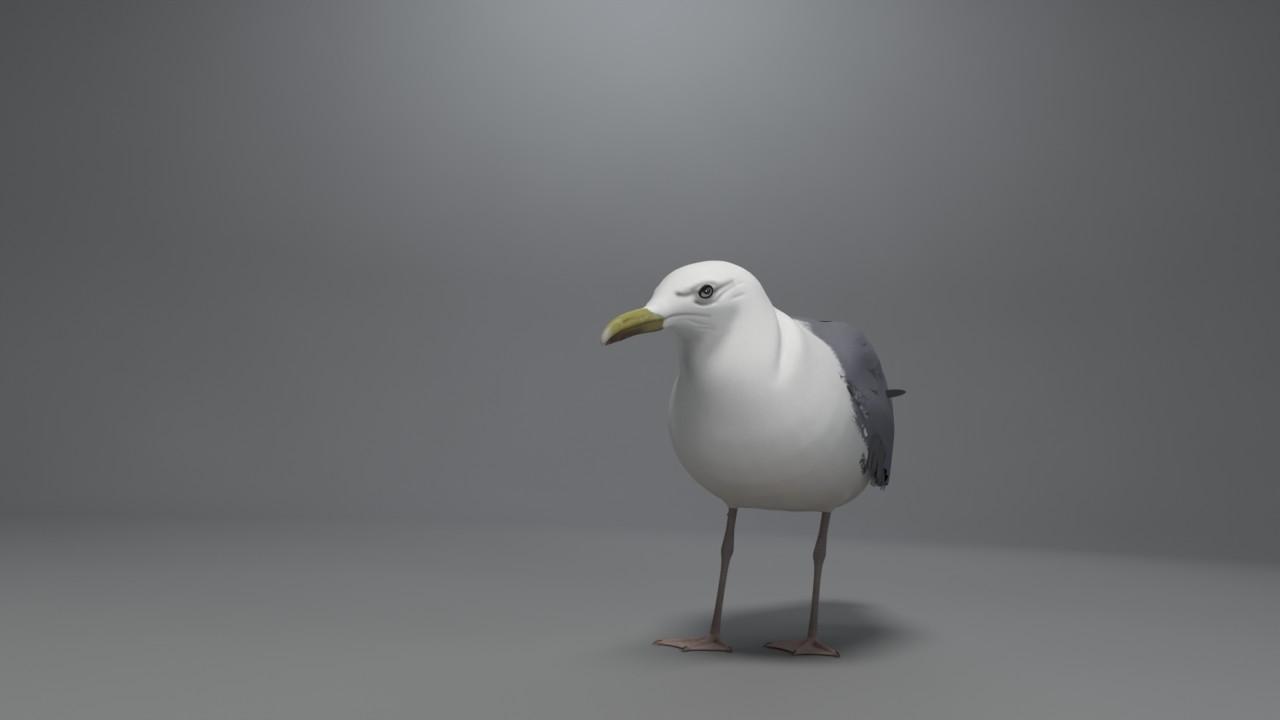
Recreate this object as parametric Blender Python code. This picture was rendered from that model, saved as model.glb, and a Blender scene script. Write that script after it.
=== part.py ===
"""A standing herring gull, life size, as a still museum model.

The model is in metres, +Z up. The bird's trunk faces -Y and its left side is +X. Sizes and stations are
written in millimetres, from a point on the floor below the body's middle, and the last step moves the whole
bird so that the origin lies under the middle of its bounding box.

The body is one loft from the tail's root to the bill's base, parted into trunk, neck and head. Wings, tail,
bill, eyes, thighs, legs and feet are solids of their own, and what they touch is cut back to leave a thin gap.
"""

import math
from collections import namedtuple

import bmesh
import bpy
from mathutils import Matrix, Vector

MM = 0.001
UP = Vector((0, 0, 1))
GAP = 0.35  # between solids that touch

# The head's own frame: its origin lies midway between the eyes, and its first axis runs along the bill.
HEAD_PLACE = Vector((-36.5, -158, 256.5))
HEAD_YAW = 24  # degrees towards the bird's right
HEAD_PITCH = -18  # degrees, bill down

EYE_RADIUS = 7.6
EYE_SEGMENTS, EYE_RINGS = 12, 8
EYE_PLACE = (-0.8, 17.0, -2.0)  # the left eyeball's centre in the head's frame: along, left and up

ANKLES = {"left": Vector((23, 39, 8.4)), "right": Vector((-51, 7, 8.4))}
HOCKS = {"left": Vector((28, 36, 74)), "right": Vector((-45, 16, 74))}
KNEES = {"left": Vector((39, 16, 124)), "right": Vector((-35, 0, 124))}
FOOT_TURN = {"left": -4, "right": -9}  # degrees the middle toe turns from straight ahead

TOES = {  # reach from the ankle and angle from the middle toe, towards the outer side
    "inner": (47.0, -41),
    "middle": (60.0, 0),
    "outer": (56.0, 36),
}
HIND_TOE = 9.0  # reach behind the ankle
WEB_THICK = 1.3
WEB_RISE = 0.5  # from the floor to the web

# An oval across the body: its centre, the way it faces, its half width, its height above and below the
# centre, how much narrower its top is than its bottom, and how square it is (1 is an ellipse).
Station = namedtuple("Station", "x y z yaw pitch width up down crown square")
# A slice across a folded wing: its upper edge, its fullest place, its lower edge and its thickness.
WingStation = namedtuple("WingStation", "y top_x top_z mid_x mid_z low_x low_z thick")
# An oval across a leg or thigh: how far up it lies, its half width and its half depth.
LimbStation = namedtuple("LimbStation", "rise wide deep")


# ---------------------------------------------------------------- colours

COLOURS = {
    "white": ((0.80, 0.80, 0.79), 0.85),
    "grey": ((0.36, 0.38, 0.42), 0.8),
    "black": ((0.03, 0.03, 0.035), 0.7),
    "bill": ((0.72, 0.58, 0.10), 0.4),
    "leg": ((0.66, 0.47, 0.42), 0.55),
    "eye": ((0.72, 0.68, 0.45), 0.1),
}


def material(name):
    found = bpy.data.materials.get(name)
    if found:
        return found
    colour, roughness = COLOURS[name]
    made = bpy.data.materials.new(name)
    made.use_nodes = True
    shader = made.node_tree.nodes["Principled BSDF"]
    shader.inputs["Base Color"].default_value = (*colour, 1)
    shader.inputs["Roughness"].default_value = roughness
    shader.inputs["Metallic"].default_value = 0
    return made


# ---------------------------------------------------------------- scene and meshes


def clear_scene():
    for obj in list(bpy.data.objects):
        bpy.data.objects.remove(obj, do_unlink=True)


def collection(name):
    made = bpy.data.collections.new(name)
    bpy.context.scene.collection.children.link(made)
    return made


def object_from(bm, name, group, colour):
    """The finished mesh, smooth-shaded, as a named object."""
    bmesh.ops.recalc_face_normals(bm, faces=bm.faces)
    mesh = bpy.data.meshes.new(name)
    bm.to_mesh(mesh)
    bm.free()
    mesh.materials.append(material(colour))
    mesh.shade_smooth()
    made = bpy.data.objects.new(name, mesh)
    group.objects.link(made)
    return made


def loft(name, rings, group, colour):
    """One closed solid through rings of equal count, capped flat at both ends. A ring is in millimetres."""
    bm = bmesh.new()
    rows = [[bm.verts.new(Vector(p) * MM) for p in ring] for ring in rings]
    count = len(rows[0])
    for low, high in zip(rows, rows[1:]):
        for i in range(count):
            j = (i + 1) % count
            bm.faces.new((low[i], low[j], high[j], high[i]))
    for end in (rows[0], rows[-1]):
        bm.faces.new(end)
    return object_from(bm, name, group, colour)


def cut(target, cutter):
    combine(target, cutter, "DIFFERENCE")


def join(target, other):
    combine(target, other, "UNION")


def combine(target, other, operation):
    """Applies a Boolean to target, which stays a plain mesh, and uses up the other object."""
    step = target.modifiers.new("step", "BOOLEAN")
    step.operation = operation
    step.object = other
    step.solver = "EXACT"
    graph = bpy.context.evaluated_depsgraph_get()
    made = bpy.data.meshes.new_from_object(target.evaluated_get(graph), depsgraph=graph)
    target.modifiers.clear()
    target.data = made
    bpy.data.objects.remove(other)


# ---------------------------------------------------------------- smooth stations


def spline(values, t):
    """A Catmull-Rom curve through values, at t from 0 to 1."""
    last = len(values) - 1
    at = min(max(t, 0.0), 1.0) * last
    i = min(int(at), last - 1)
    f = at - i
    before, a, b, after = (values[min(max(i + k, 0), last)] for k in (-1, 0, 1, 2))
    return 0.5 * (
        2 * a
        + (b - before) * f
        + (2 * before - 5 * a + 4 * b - after) * f * f
        + (3 * a - before - 3 * b + after) * f**3
    )


def station_at(stations, t):
    return type(stations[0])(*(spline(column, t) for column in zip(*stations)))


def heading(yaw, pitch):
    """Forward, left and up for something that faces -Y at yaw 0; a positive yaw turns it to its right."""
    yaw, pitch = math.radians(yaw), math.radians(pitch)
    flat = Vector((-math.sin(yaw), -math.cos(yaw), 0))
    left = Vector((math.cos(yaw), -math.sin(yaw), 0))
    forward = flat * math.cos(pitch) + Vector((0, 0, math.sin(pitch)))
    up = Vector((0, 0, math.cos(pitch))) - flat * math.sin(pitch)
    return forward, left, up


def power(value, exponent):
    return math.copysign(abs(value) ** exponent, value)


def turns(count, start=0.0):
    """The angles of equal steps round a circle."""
    return [2 * math.pi * (i + start) / count for i in range(count)]


def level_oval(centre, wide, deep, count):
    return [centre + Vector((wide * math.cos(a), deep * math.sin(a), 0)) for a in turns(count)]


def body_oval(station):
    _, left, up = heading(station.yaw, station.pitch)
    centre = Vector((station.x, station.y, station.z))
    ring = []
    for a in turns(BODY_SEGMENTS):
        rise = station.up if math.sin(a) > 0 else station.down
        wide = station.width * (1 - station.crown * math.sin(a))
        aside = left * wide * power(math.cos(a), station.square)
        ring.append(centre + aside + up * rise * power(math.sin(a), station.square))
    return ring


# ---------------------------------------------------------------- trunk, neck and head


def head_point(along, left, up):
    """A point in the head's frame, in the bird's."""
    forward, aside, above = heading(HEAD_YAW, HEAD_PITCH)
    return HEAD_PLACE + forward * along + aside * left + above * up


def head_station(along, up, turn, width, rise, fall, crown):
    """An oval across the head, at a place on its middle plane. turn pitches it up towards the neck."""
    place = head_point(along, 0, up)
    return Station(*place, HEAD_YAW, HEAD_PITCH + turn, width, rise, fall, crown, 1)


#        x    y    z   yaw pitch width  up  down crown square
TRUNK_STATIONS = [
    Station(0, 208, 165, 0, 6, 25, 9, 11, 0.0, 1.0),
    Station(0, 178, 167, 0, 5, 39, 22, 31, 0.0, 0.9),
    Station(0, 138, 173, 0, 4, 60, 43, 57, 0.0, 0.76),
    Station(0, 84, 182, 0, 4, 71, 67, 74, 0.0, 0.74),
    Station(0, 26, 189, 0, 6, 74, 79, 80, 0.02, 0.78),
    Station(0, -32, 193, 0, 12, 74, 75, 83, 0.06, 0.85),
    Station(-1, -76, 199, 0, 26, 67, 64, 76, 0.14, 0.95),
    Station(-4, -103, 219, 7, 38, 49, 47, 56, 0.08, 1.0),
]
NECK_STATIONS = [
    Station(-14, -121, 237, 14, 42, 37, 40, 41, 0.0, 1.0),
]
HEAD_STATIONS = [
    head_station(-29, -8, 42, 32.5, 31, 33, 0.0),
    head_station(-15, -6, 18, 29.5, 27, 28, 0.02),
    head_station(0, -5, 4, 24.5, 22.8, 22.6, 0.06),
    head_station(13, -5.5, 0, 17.6, 17.0, 16.4, 0.08),
    head_station(25, -7.2, 0, 11.6, 11.0, 11.6, 0.06),
    head_station(35, -9.6, 0, 8.2, 7.8, 8.4, 0.02),
    head_station(39, -10.2, 0, 5.0, 5.6, 5.8, 0.0),
]
BODY_STATIONS = TRUNK_STATIONS + NECK_STATIONS + HEAD_STATIONS
NECK_START = (len(TRUNK_STATIONS) - 0.75) / (len(BODY_STATIONS) - 1)
HEAD_START = (len(TRUNK_STATIONS) + 0.55) / (len(BODY_STATIONS) - 1)
BODY_SEGMENTS = 28


def body_part(name, start, end, steps, group, colour):
    """A length of the body. Half a gap is left at each cut."""
    stations = [station_at(BODY_STATIONS, start + (end - start) * i / steps) for i in range(steps + 1)]
    for index, at, side in ((0, start, 1), (-1, end, -1)):
        if 0 < at < 1:
            forward = heading(stations[index].yaw, stations[index].pitch)[0]
            place = Vector(stations[index][:3]) + forward * side * GAP / 2
            stations[index] = stations[index]._replace(x=place.x, y=place.y, z=place.z)
    return loft(name, [body_oval(s) for s in stations], group, colour)


# ---------------------------------------------------------------- bill and eyes

CUTTING_EDGE_SQUARE = 0.35  # how square each half of the bill is towards the other

def bill_oval(along, top, bottom, width, turn, flat_side, grow):
    """A ring across one half of the bill. flat_side is the side that meets the other half: 1 above, -1 below."""
    middle, half = (top + bottom) / 2, (top - bottom) / 2
    turn = math.radians(turn)
    ring = []
    for a in turns(BILL_SEGMENTS):
        rise = math.sin(a) * (half + grow)
        square = CUTTING_EDGE_SQUARE if math.sin(a) * flat_side > 0 else 1
        wide = (width + grow) * power(math.cos(a), square)
        ring.append(head_point(along + rise * math.sin(turn), wide, middle + rise * math.cos(turn)))
    return ring


# How far along the head's first axis, the top and bottom there, half the width, and how far the slice turns.
UPPER_BILL = [
    (26.0, -4.8, -10.2, 9.0, 0),
    (34.0, -3.0, -10.8, 7.8, 0),
    (44.0, -2.8, -11.2, 6.6, 0),
    (56.0, -3.2, -11.8, 5.8, 0),
    (66.0, -4.6, -12.5, 5.1, 6),
    (74.0, -7.4, -13.7, 4.2, 20),
    (80.2, -11.8, -15.9, 3.1, 40),
    (83.6, -16.4, -18.7, 1.8, 62),
    (84.4, -19.4, -20.3, 0.7, 76),
]
LOWER_BILL = [
    (20.0, -11.2, -19.2, 10.2, 0),
    (32.0, -11.5, -19.6, 7.6, 0),
    (46.0, -12.1, -20.0, 5.7, 0),
    (58.0, -12.7, -21.4, 4.9, 0),
    (65.0, -13.3, -21.6, 4.4, 0),
    (72.0, -14.3, -20.6, 3.4, 0),
    (78.0, -15.6, -19.2, 2.1, 0),
    (80.0, -16.6, -17.8, 1.0, 0),
]
BILL_SEGMENTS = 14
BILL_STEPS = 2  # rings for each stretch between two stations


def bill_half(name, table, flat_side, group, grow=0.0):
    steps = BILL_STEPS * (len(table) - 1)
    columns = list(zip(*table))
    rings = []
    for i in range(steps + 1):
        along, top, bottom, width, turn = (spline(column, i / steps) for column in columns)
        if i == 0:
            along -= grow
        if i == steps:
            along += grow
        rings.append(bill_oval(along, top, bottom, width, turn, flat_side, grow))
    return loft(name, rings, group, "bill")


def eyeball(name, side, group, grow=0.0):
    along, left, up = EYE_PLACE
    bm = bmesh.new()
    bmesh.ops.create_uvsphere(bm, u_segments=EYE_SEGMENTS, v_segments=EYE_RINGS, radius=(EYE_RADIUS + grow) * MM)
    bmesh.ops.translate(bm, verts=bm.verts, vec=head_point(along, side * left, up) * MM)
    return object_from(bm, name, group, "eye")


# ---------------------------------------------------------------- wings and tail

#            y   top x, z   mid x, z   low x, z  thick
WING_STATIONS = [
    WingStation(-50, 56, 232, 63, 216, 64, 205, 2.0),
    WingStation(-40, 48, 247, 71, 205, 71, 190, 6.0),
    WingStation(-12, 40, 260, 79, 192, 79, 172, 10.5),
    WingStation(28, 34, 264, 81.5, 183, 82, 155, 12.0),
    WingStation(68, 28, 255, 78.5, 178, 80, 145, 12.0),
    WingStation(108, 20, 239, 71, 174, 72.5, 142, 11.0),
    WingStation(146, 13, 219, 60, 169, 61, 142, 9.0),
    WingStation(182, 9, 199, 48, 168, 49, 146, 7.5),
    WingStation(216, 8, 187, 38, 168, 38, 150, 6.0),
    WingStation(256, 7, 179, 26, 167, 26, 154, 4.6),
    WingStation(296, 5, 173, 16, 167, 16, 158, 3.4),
    WingStation(330, 4, 168, 8, 166, 8, 162, 2.0),
]
HAND_START = 0.69  # where the folded primaries are parted from the rest, as a share of the stations
WING_SPAN = (0, HAND_START, 15)  # first and last share, and rings between
HAND_SPAN = (HAND_START, 1, 6)
WING_ABOVE, WING_BELOW = 5, 3  # points above and below the fullest place
WING_GAP = 0.5
WING_EDGE = 0.3  # thickness at the two edges, as a share of the slice's own


def wing_curve(station, grow):
    """The wing's middle surface at one place along the body, from its top edge to its lower edge."""
    points = []
    for i in range(WING_ABOVE):
        a = math.radians(90 * (1 - i / WING_ABOVE))
        x = station.top_x + (station.mid_x - station.top_x) * math.cos(a)
        z = station.mid_z + (station.top_z - station.mid_z) * math.sin(a)
        points.append(Vector((x, z)))
    for i in range(WING_BELOW + 1):
        share = i / WING_BELOW
        x = station.mid_x + (station.low_x - station.mid_x) * share**2
        points.append(Vector((x, station.mid_z + (station.low_z - station.mid_z) * share)))
    points[0] += (points[0] - points[1]).normalized() * grow
    points[-1] += (points[-1] - points[-2]).normalized() * grow
    return points


def wing_ring(station, side, grow=0.0):
    """A curved strip round the flank, thickest in the middle and thin at its two edges."""
    points = wing_curve(station, grow)
    last = len(points) - 1
    outer, inner = [], []
    for i, point in enumerate(points):
        run = points[min(i + 1, last)] - points[max(i - 1, 0)]
        out = Vector((-run.y, run.x)).normalized()
        full = WING_EDGE + (1 - WING_EDGE) * math.sin(math.pi * i / last)
        half = full * station.thick / 2 + grow
        for row, sign in ((outer, 1), (inner, -1)):
            place = point + out * sign * half
            row.append(Vector((side * place.x, station.y, place.y)))
    return outer + inner[::-1]


def wing_part(name, side, start, end, steps, group, colour, grow=0.0):
    """A length of one folded wing, from share start to share end of its stations."""
    stations = [station_at(WING_STATIONS, start + (end - start) * i / steps) for i in range(steps + 1)]
    if 0 < start:
        stations[0] = stations[0]._replace(y=stations[0].y + GAP / 2)
    if end < 1:
        stations[-1] = stations[-1]._replace(y=stations[-1].y - GAP / 2)
    if grow:
        stations.insert(0, stations[0]._replace(y=stations[0].y - grow))
        stations.append(stations[-1]._replace(y=stations[-1].y + grow))
    return loft(name, [wing_ring(s, side, grow) for s in stations], group, colour)


def make_room_for_wing(target, side, tools):
    for span in (WING_SPAN, HAND_SPAN):
        cut(target, wing_part("wing_room", side, *span, tools, "grey", grow=WING_GAP))


TAIL_ROOT = Vector((0, 190, 163))
TAIL_LENGTH = 106.0
TAIL_DROP = 9.0  # degrees below level
TAIL_ROOT_HALF, TAIL_TIP_HALF = 22.0, 36.0
TAIL_ROOT_THICK, TAIL_TIP_THICK = 15.0, 2.6
TAIL_TAPER = 0.6  # below 1, the tail thins soon after its root
TAIL_ARCH = 4.0  # how far the sides hang below the middle
TAIL_CORNERS = 0.86  # share of the length where the end begins to round off
TAIL_ROUNDING = 0.65  # share of the width lost there
TAIL_GAP = 0.7
TAIL_STEPS, TAIL_SEGMENTS = 10, 16


def tail(name, group, grow=0.0):
    """A flat arched fan, deep at its root and thin at its rounded end."""
    drop = math.radians(TAIL_DROP)
    back = Vector((0, math.cos(drop), -math.sin(drop)))
    up = Vector((0, math.sin(drop), math.cos(drop)))
    rings = []
    for i in range(TAIL_STEPS + 1):
        share = i / TAIL_STEPS
        corner = max(share - TAIL_CORNERS, 0) / (1 - TAIL_CORNERS)
        half = TAIL_ROOT_HALF + (TAIL_TIP_HALF - TAIL_ROOT_HALF) * share
        half = half * (1 - TAIL_ROUNDING * corner**2) + grow
        thick = (TAIL_ROOT_THICK + (TAIL_TIP_THICK - TAIL_ROOT_THICK) * share**TAIL_TAPER) / 2 + grow
        centre = TAIL_ROOT + back * TAIL_LENGTH * share
        if i == 0:
            centre -= back * grow
        ring = []
        for a in turns(TAIL_SEGMENTS):
            aside = math.cos(a)
            rise = thick * math.sin(a) - TAIL_ARCH * aside**2
            ring.append(centre + Vector((half * aside, 0, 0)) + up * rise)
        rings.append(ring)
    return loft(name, rings, group, "white")


# ---------------------------------------------------------------- legs

LEG_STATIONS = [  # rise is the share of the way from the ankle to the knee
    LimbStation(0.00, 4.3, 5.2),
    LimbStation(0.10, 3.3, 4.0),
    LimbStation(0.28, 2.8, 3.7),
    LimbStation(0.46, 2.9, 3.9),
    LimbStation(0.55, 4.0, 5.0),
    LimbStation(0.60, 5.4, 6.4),
    LimbStation(0.66, 4.6, 5.8),
    LimbStation(0.76, 3.4, 4.2),
    LimbStation(0.90, 3.8, 4.6),
]
HOCK_SHARE = 0.60
LEG_STEPS, LEG_SEGMENTS = 14, 10


def leg_line(which, share):
    """The leg's middle line: up the shank from the ankle to the hock, then on towards the knee."""
    if share < HOCK_SHARE:
        return ANKLES[which].lerp(HOCKS[which], share / HOCK_SHARE)
    return HOCKS[which].lerp(KNEES[which], (share - HOCK_SHARE) / (1 - HOCK_SHARE))


def leg(name, which, group, grow=0.0):
    rings = []
    for i in range(LEG_STEPS + 1):
        station = station_at(LEG_STATIONS, i / LEG_STEPS)
        centre = leg_line(which, station.rise) - Vector((0, 0, grow if i == 0 else 0))
        rings.append(level_oval(centre, station.wide + grow, station.deep + grow, LEG_SEGMENTS))
    return loft(name, rings, group, "leg")


THIGH_STATIONS = [  # rise is the distance up from the feathers' lower edge
    LimbStation(0, 4.9, 6.0),
    LimbStation(4, 6.8, 9.5),
    LimbStation(10, 11.5, 16.0),
    LimbStation(18, 15.0, 21.0),
    LimbStation(27, 16.0, 23.0),
]
THIGH_FROM = 0.79  # where the feathers begin, as a share of the way from the ankle to the knee
THIGH_STEPS, THIGH_SEGMENTS = 6, 14


def thigh(name, which, group, grow=0.0):
    """The feathered top of a leg, mostly sunk in the flank."""
    start = leg_line(which, THIGH_FROM)
    run = (KNEES[which] - start).normalized()
    rings = []
    for i in range(THIGH_STEPS + 1):
        station = station_at(THIGH_STATIONS, i / THIGH_STEPS)
        past_end = {0: -grow, THIGH_STEPS: grow}.get(i, 0)
        centre = start + run * (station.rise + past_end)
        rings.append(level_oval(centre, station.wide + grow, station.deep + grow, THIGH_SEGMENTS))
    return loft(name, rings, group, "white")


# ---------------------------------------------------------------- feet

#   share of the toe's length, radius, height of its middle
TOE_SHAPE = [
    (0.00, 4.6, 4.0),
    (0.14, 3.6, 3.0),
    (0.28, 2.6, 2.6),
    (0.40, 2.9, 2.3),
    (0.54, 2.2, 2.2),
    (0.66, 2.5, 1.95),
    (0.79, 1.8, 1.8),
    (0.88, 2.1, 1.6),
    (0.94, 1.1, 2.1),
    (1.00, 0.5, 0.9),
]
#   the same for the hind toe, whose first rings are the ankle's own pad
HIND_SHAPE = [
    (-0.60, 3.0, 3.2),
    (-0.20, 4.9, 4.1),
    (0.25, 4.6, 3.9),
    (0.60, 2.4, 4.2),
    (1.00, 1.0, 3.2),
]
TOE_SEGMENTS = 8
WEB_ENDS = 0.88  # where a web's front edge meets its two toes, as a share of their lengths
WEB_HOLLOW = 0.84  # how far that edge is drawn in between the nails
WEB_POINTS = 5  # along that edge
FLOOR_BLOCK = 400


def toe_tips(which):
    """The ankle, and where each toe's nail ends, at floor level."""
    side = 1 if which == "left" else -1
    ankle = ANKLES[which] * Vector((1, 1, 0))
    tips = {}
    for toe, (reach, spread) in TOES.items():
        turn = math.radians(FOOT_TURN[which] + side * spread)
        tips[toe] = ankle + Vector((math.sin(turn), -math.cos(turn), 0)) * reach
    return ankle, tips


def toe_tube(name, start, tip, shape, group):
    """A toe with its pads and its nail, from its root to its tip along the floor."""
    along = (tip - start).normalized()
    aside = Vector((-along.y, along.x, 0))
    rings = []
    for share, radius, height in shape:
        centre = start.lerp(tip, share) + Vector((0, 0, height))
        ring = []
        for a in turns(TOE_SEGMENTS, start=0.5):
            ring.append(centre + (aside * math.cos(a) + UP * math.sin(a)) * radius)
        rings.append(ring)
    return loft(name, rings, group, "leg")


def web(name, ankle, first, second, group):
    """The web between two toes: a plate whose front edge is drawn in between the nails."""
    one, other = ankle.lerp(first, WEB_ENDS), ankle.lerp(second, WEB_ENDS)
    hollow = ankle.lerp((one + other) / 2, WEB_HOLLOW)
    outline = [ankle]
    for i in range(WEB_POINTS):
        t = i / (WEB_POINTS - 1)
        outline.append(one.lerp(hollow, t).lerp(hollow.lerp(other, t), t))
    bm = bmesh.new()
    face = bm.faces.new([bm.verts.new(p * MM) for p in outline])
    made = bmesh.ops.extrude_face_region(bm, geom=[face])
    raised = [v for v in made["geom"] if isinstance(v, bmesh.types.BMVert)]
    bmesh.ops.translate(bm, verts=raised, vec=UP * WEB_THICK * MM)
    bmesh.ops.translate(bm, verts=bm.verts, vec=UP * WEB_RISE * MM)
    return object_from(bm, name, group, "leg")


def below_floor(tools):
    """A block whose top is the floor, to cut the soles flat."""
    bm = bmesh.new()
    bmesh.ops.create_cube(bm, size=FLOOR_BLOCK * MM)
    bmesh.ops.translate(bm, verts=bm.verts, vec=-UP * FLOOR_BLOCK / 2 * MM)
    return object_from(bm, "below_floor", tools, "leg")


def foot(name, which, group, tools):
    ankle, tips = toe_tips(which)
    made = toe_tube(name, ankle, tips["middle"], TOE_SHAPE, group)
    for toe in ("inner", "outer"):
        join(made, toe_tube("toe", ankle, tips[toe], TOE_SHAPE, tools))
        join(made, web("web", ankle, tips["middle"], tips[toe], tools))
    back = ankle - (tips["middle"] - ankle).normalized() * HIND_TOE
    join(made, toe_tube("hind_toe", ankle, back, HIND_SHAPE, tools))
    cut(made, below_floor(tools))
    cut(made, leg("leg_room", which, tools, grow=GAP))
    return made


# ---------------------------------------------------------------- assembly


def centre_on_floor(objects):
    """Moves everything so that the origin is under the middle of the bird, at floor level."""
    corners = [vertex.co for obj in objects for vertex in obj.data.vertices]
    low = Vector(map(min, zip(*corners)))
    high = Vector(map(max, zip(*corners)))
    shift = Matrix.Translation((-(low.x + high.x) / 2, -(low.y + high.y) / 2, -low.z))
    for obj in objects:
        obj.data.transform(shift)


def build():
    clear_scene()
    gull = collection("herring_gull")
    tools = collection("cutters")
    trunk = body_part("trunk", 0, NECK_START, 22, gull, "white")
    body_part("neck", NECK_START, HEAD_START, 4, gull, "white")
    head = body_part("head", HEAD_START, 1, 17, gull, "white")
    rump = tail("tail", gull)

    bill_half("bill_upper", UPPER_BILL, -1, gull)
    bill_half("bill_lower", LOWER_BILL, 1, gull)
    cut(head, bill_half("upper_room", UPPER_BILL, -1, tools, grow=GAP))
    cut(head, bill_half("lower_room", LOWER_BILL, 1, tools, grow=GAP))

    for which, side in (("left", 1), ("right", -1)):
        eyeball("eye_" + which, side, gull)
        cut(head, eyeball("eye_room", side, tools, grow=GAP))
        wing_part("wing_" + which, side, *WING_SPAN, gull, "grey")
        wing_part("primaries_" + which, side, *HAND_SPAN, gull, "black")
        make_room_for_wing(trunk, side, tools)
        make_room_for_wing(rump, side, tools)
    cut(trunk, tail("tail_room", tools, grow=TAIL_GAP))

    for which in ("left", "right"):
        leg("leg_" + which, which, gull)
        upper = thigh("thigh_" + which, which, gull)
        cut(trunk, thigh("thigh_room", which, tools, grow=GAP))
        cut(upper, leg("leg_room", which, tools, grow=GAP))
        foot("foot_" + which, which, gull, tools)
    centre_on_floor(list(gull.objects))


build()
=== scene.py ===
"""A life-size adult herring gull as a museum shows it: standing, with its head lowered and turned to its right.

Lengths in this file are in millimetres unless a name says otherwise. Meshes are scaled to metres when they are made.
"""

import math

import bmesh
import bpy
import numpy as np
from mathutils import Matrix, Vector
from mathutils.bvhtree import BVHTree


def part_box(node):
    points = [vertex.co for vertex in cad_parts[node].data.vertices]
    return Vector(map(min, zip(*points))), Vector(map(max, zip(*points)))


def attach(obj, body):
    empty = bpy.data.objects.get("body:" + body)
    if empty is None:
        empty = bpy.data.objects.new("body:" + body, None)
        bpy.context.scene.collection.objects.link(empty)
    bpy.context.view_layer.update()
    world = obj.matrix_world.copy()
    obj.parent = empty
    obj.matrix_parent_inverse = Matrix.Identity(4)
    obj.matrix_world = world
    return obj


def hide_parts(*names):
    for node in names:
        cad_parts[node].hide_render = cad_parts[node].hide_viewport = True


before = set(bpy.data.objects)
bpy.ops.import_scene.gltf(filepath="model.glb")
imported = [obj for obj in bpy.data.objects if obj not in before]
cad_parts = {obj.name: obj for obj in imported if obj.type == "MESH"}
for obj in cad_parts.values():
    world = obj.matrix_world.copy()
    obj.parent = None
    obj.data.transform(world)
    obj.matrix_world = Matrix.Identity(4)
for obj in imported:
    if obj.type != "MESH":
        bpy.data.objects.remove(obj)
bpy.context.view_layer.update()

MM = 0.001
RNG = np.random.default_rng(11)

# ---------------------------------------------------------------- shader expressions


class Value:
    """A shader socket that takes part in Python expressions."""

    def __init__(self, finish, socket):
        self.finish, self.socket = finish, socket

    def maths(self, operation, *others):
        return self.finish.node("ShaderNodeMath", {"operation": operation}, self, *others)

    def __add__(self, other):
        return self.maths("ADD", other)

    def __radd__(self, other):
        return self + other

    def __sub__(self, other):
        return self.maths("SUBTRACT", other)

    def __rsub__(self, other):
        return self.finish.node("ShaderNodeMath", {"operation": "SUBTRACT"}, other, self)

    def __mul__(self, other):
        return self.maths("MULTIPLY", other)

    def __rmul__(self, other):
        return self * other

    def __abs__(self):
        return self.maths("ABSOLUTE")

    def sine(self):
        return self.maths("SINE")

    def step(self, low, high):
        """0 at low and 1 at high, smooth between; low may be the larger."""
        settings = {"interpolation_type": "SMOOTHSTEP", "clamp": True}
        return self.finish.node("ShaderNodeMapRange", settings, self, low, high, 0.0, 1.0)


class Finish:
    """A material being made from one Principled shader."""

    def __init__(self, name, roughness=0.5, **uniform):
        self.material = bpy.data.materials.new(name)
        self.material.use_nodes = True
        self.tree = self.material.node_tree
        self.shader = self.tree.nodes["Principled BSDF"]
        self.shader.inputs["Roughness"].default_value = roughness
        for socket, value in uniform.items():
            self.shader.inputs[socket.replace("_", " ")].default_value = value

    def node(self, kind, settings, *values, out=0, **named):
        """Adds one node: its type, its settings, and the values or links of its sockets in order or by name."""
        made = self.tree.nodes.new(kind)
        for setting, value in settings.items():
            setattr(made, setting, value)
        sockets = [s for s in made.inputs if s.enabled]
        pairs = list(zip(sockets, values))
        pairs += [(next(s for s in sockets if s.name == key.replace("_", " ")), v) for key, v in named.items()]
        for socket, value in pairs:
            if isinstance(value, Value):
                self.tree.links.new(value.socket, socket)
            else:
                socket.default_value = value
        outputs = [s for s in made.outputs if s.enabled]
        return Value(self, outputs[out] if isinstance(out, int) else made.outputs[out])

    def attribute(self, name, out="Fac"):
        return self.node("ShaderNodeAttribute", {"attribute_name": name}, out=out)

    def parts_of(self, vector):
        split = self.node("ShaderNodeSeparateXYZ", {}, vector).socket.node
        return [Value(self, s) for s in split.outputs]

    def place(self):
        return self.node("ShaderNodeTexCoord", {}, out="Object")

    def grain(self, scale, detail=3.0, roughness=0.5, where=None):
        where = where or self.place()
        return self.node("ShaderNodeTexNoise", {}, Vector=where, Scale=scale, Detail=detail, Roughness=roughness)

    def mix(self, factor, first, second, kind="MIX"):
        settings = {"data_type": "RGBA", "blend_type": kind}
        return self.node("ShaderNodeMix", settings, factor, first, second)

    def darken(self, colour, amount, red, green, blue):
        return self.mix(amount, colour, rgb(red, green, blue), "MULTIPLY")

    def feed(self, socket, value):
        self.tree.links.new(value.socket, self.shader.inputs[socket])

    def bump(self, height, distance, strength=1.0):
        """Feeds Normal from a height; distance is in metres."""
        self.feed("Normal", self.node("ShaderNodeBump", {}, Strength=strength, Distance=distance, Height=height))


def rgb(red, green, blue):
    return (red, green, blue, 1.0)


# ---------------------------------------------------------------- arrays and meshes


def unit(vectors):
    length = np.linalg.norm(vectors, axis=-1, keepdims=True)
    return vectors / np.maximum(length, 1e-9)


def dot(a, b):
    return (a * b).sum(-1)


def smooth(t):
    t = np.clip(t, 0, 1)
    return t * t * (3 - 2 * t)


def ramp(value, low, high):
    """0 at low and 1 at high, smooth between; low may be the larger."""
    return smooth((value - low) / (high - low))


def band(value, start, full, fade, end):
    """1 between full and fade, and 0 before start and after end."""
    return ramp(value, start, full) * ramp(value, end, fade)


def hump(gap, half):
    """1 on a line and falling off smoothly on both sides of it."""
    return np.exp(-((gap / half) ** 2))


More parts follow.
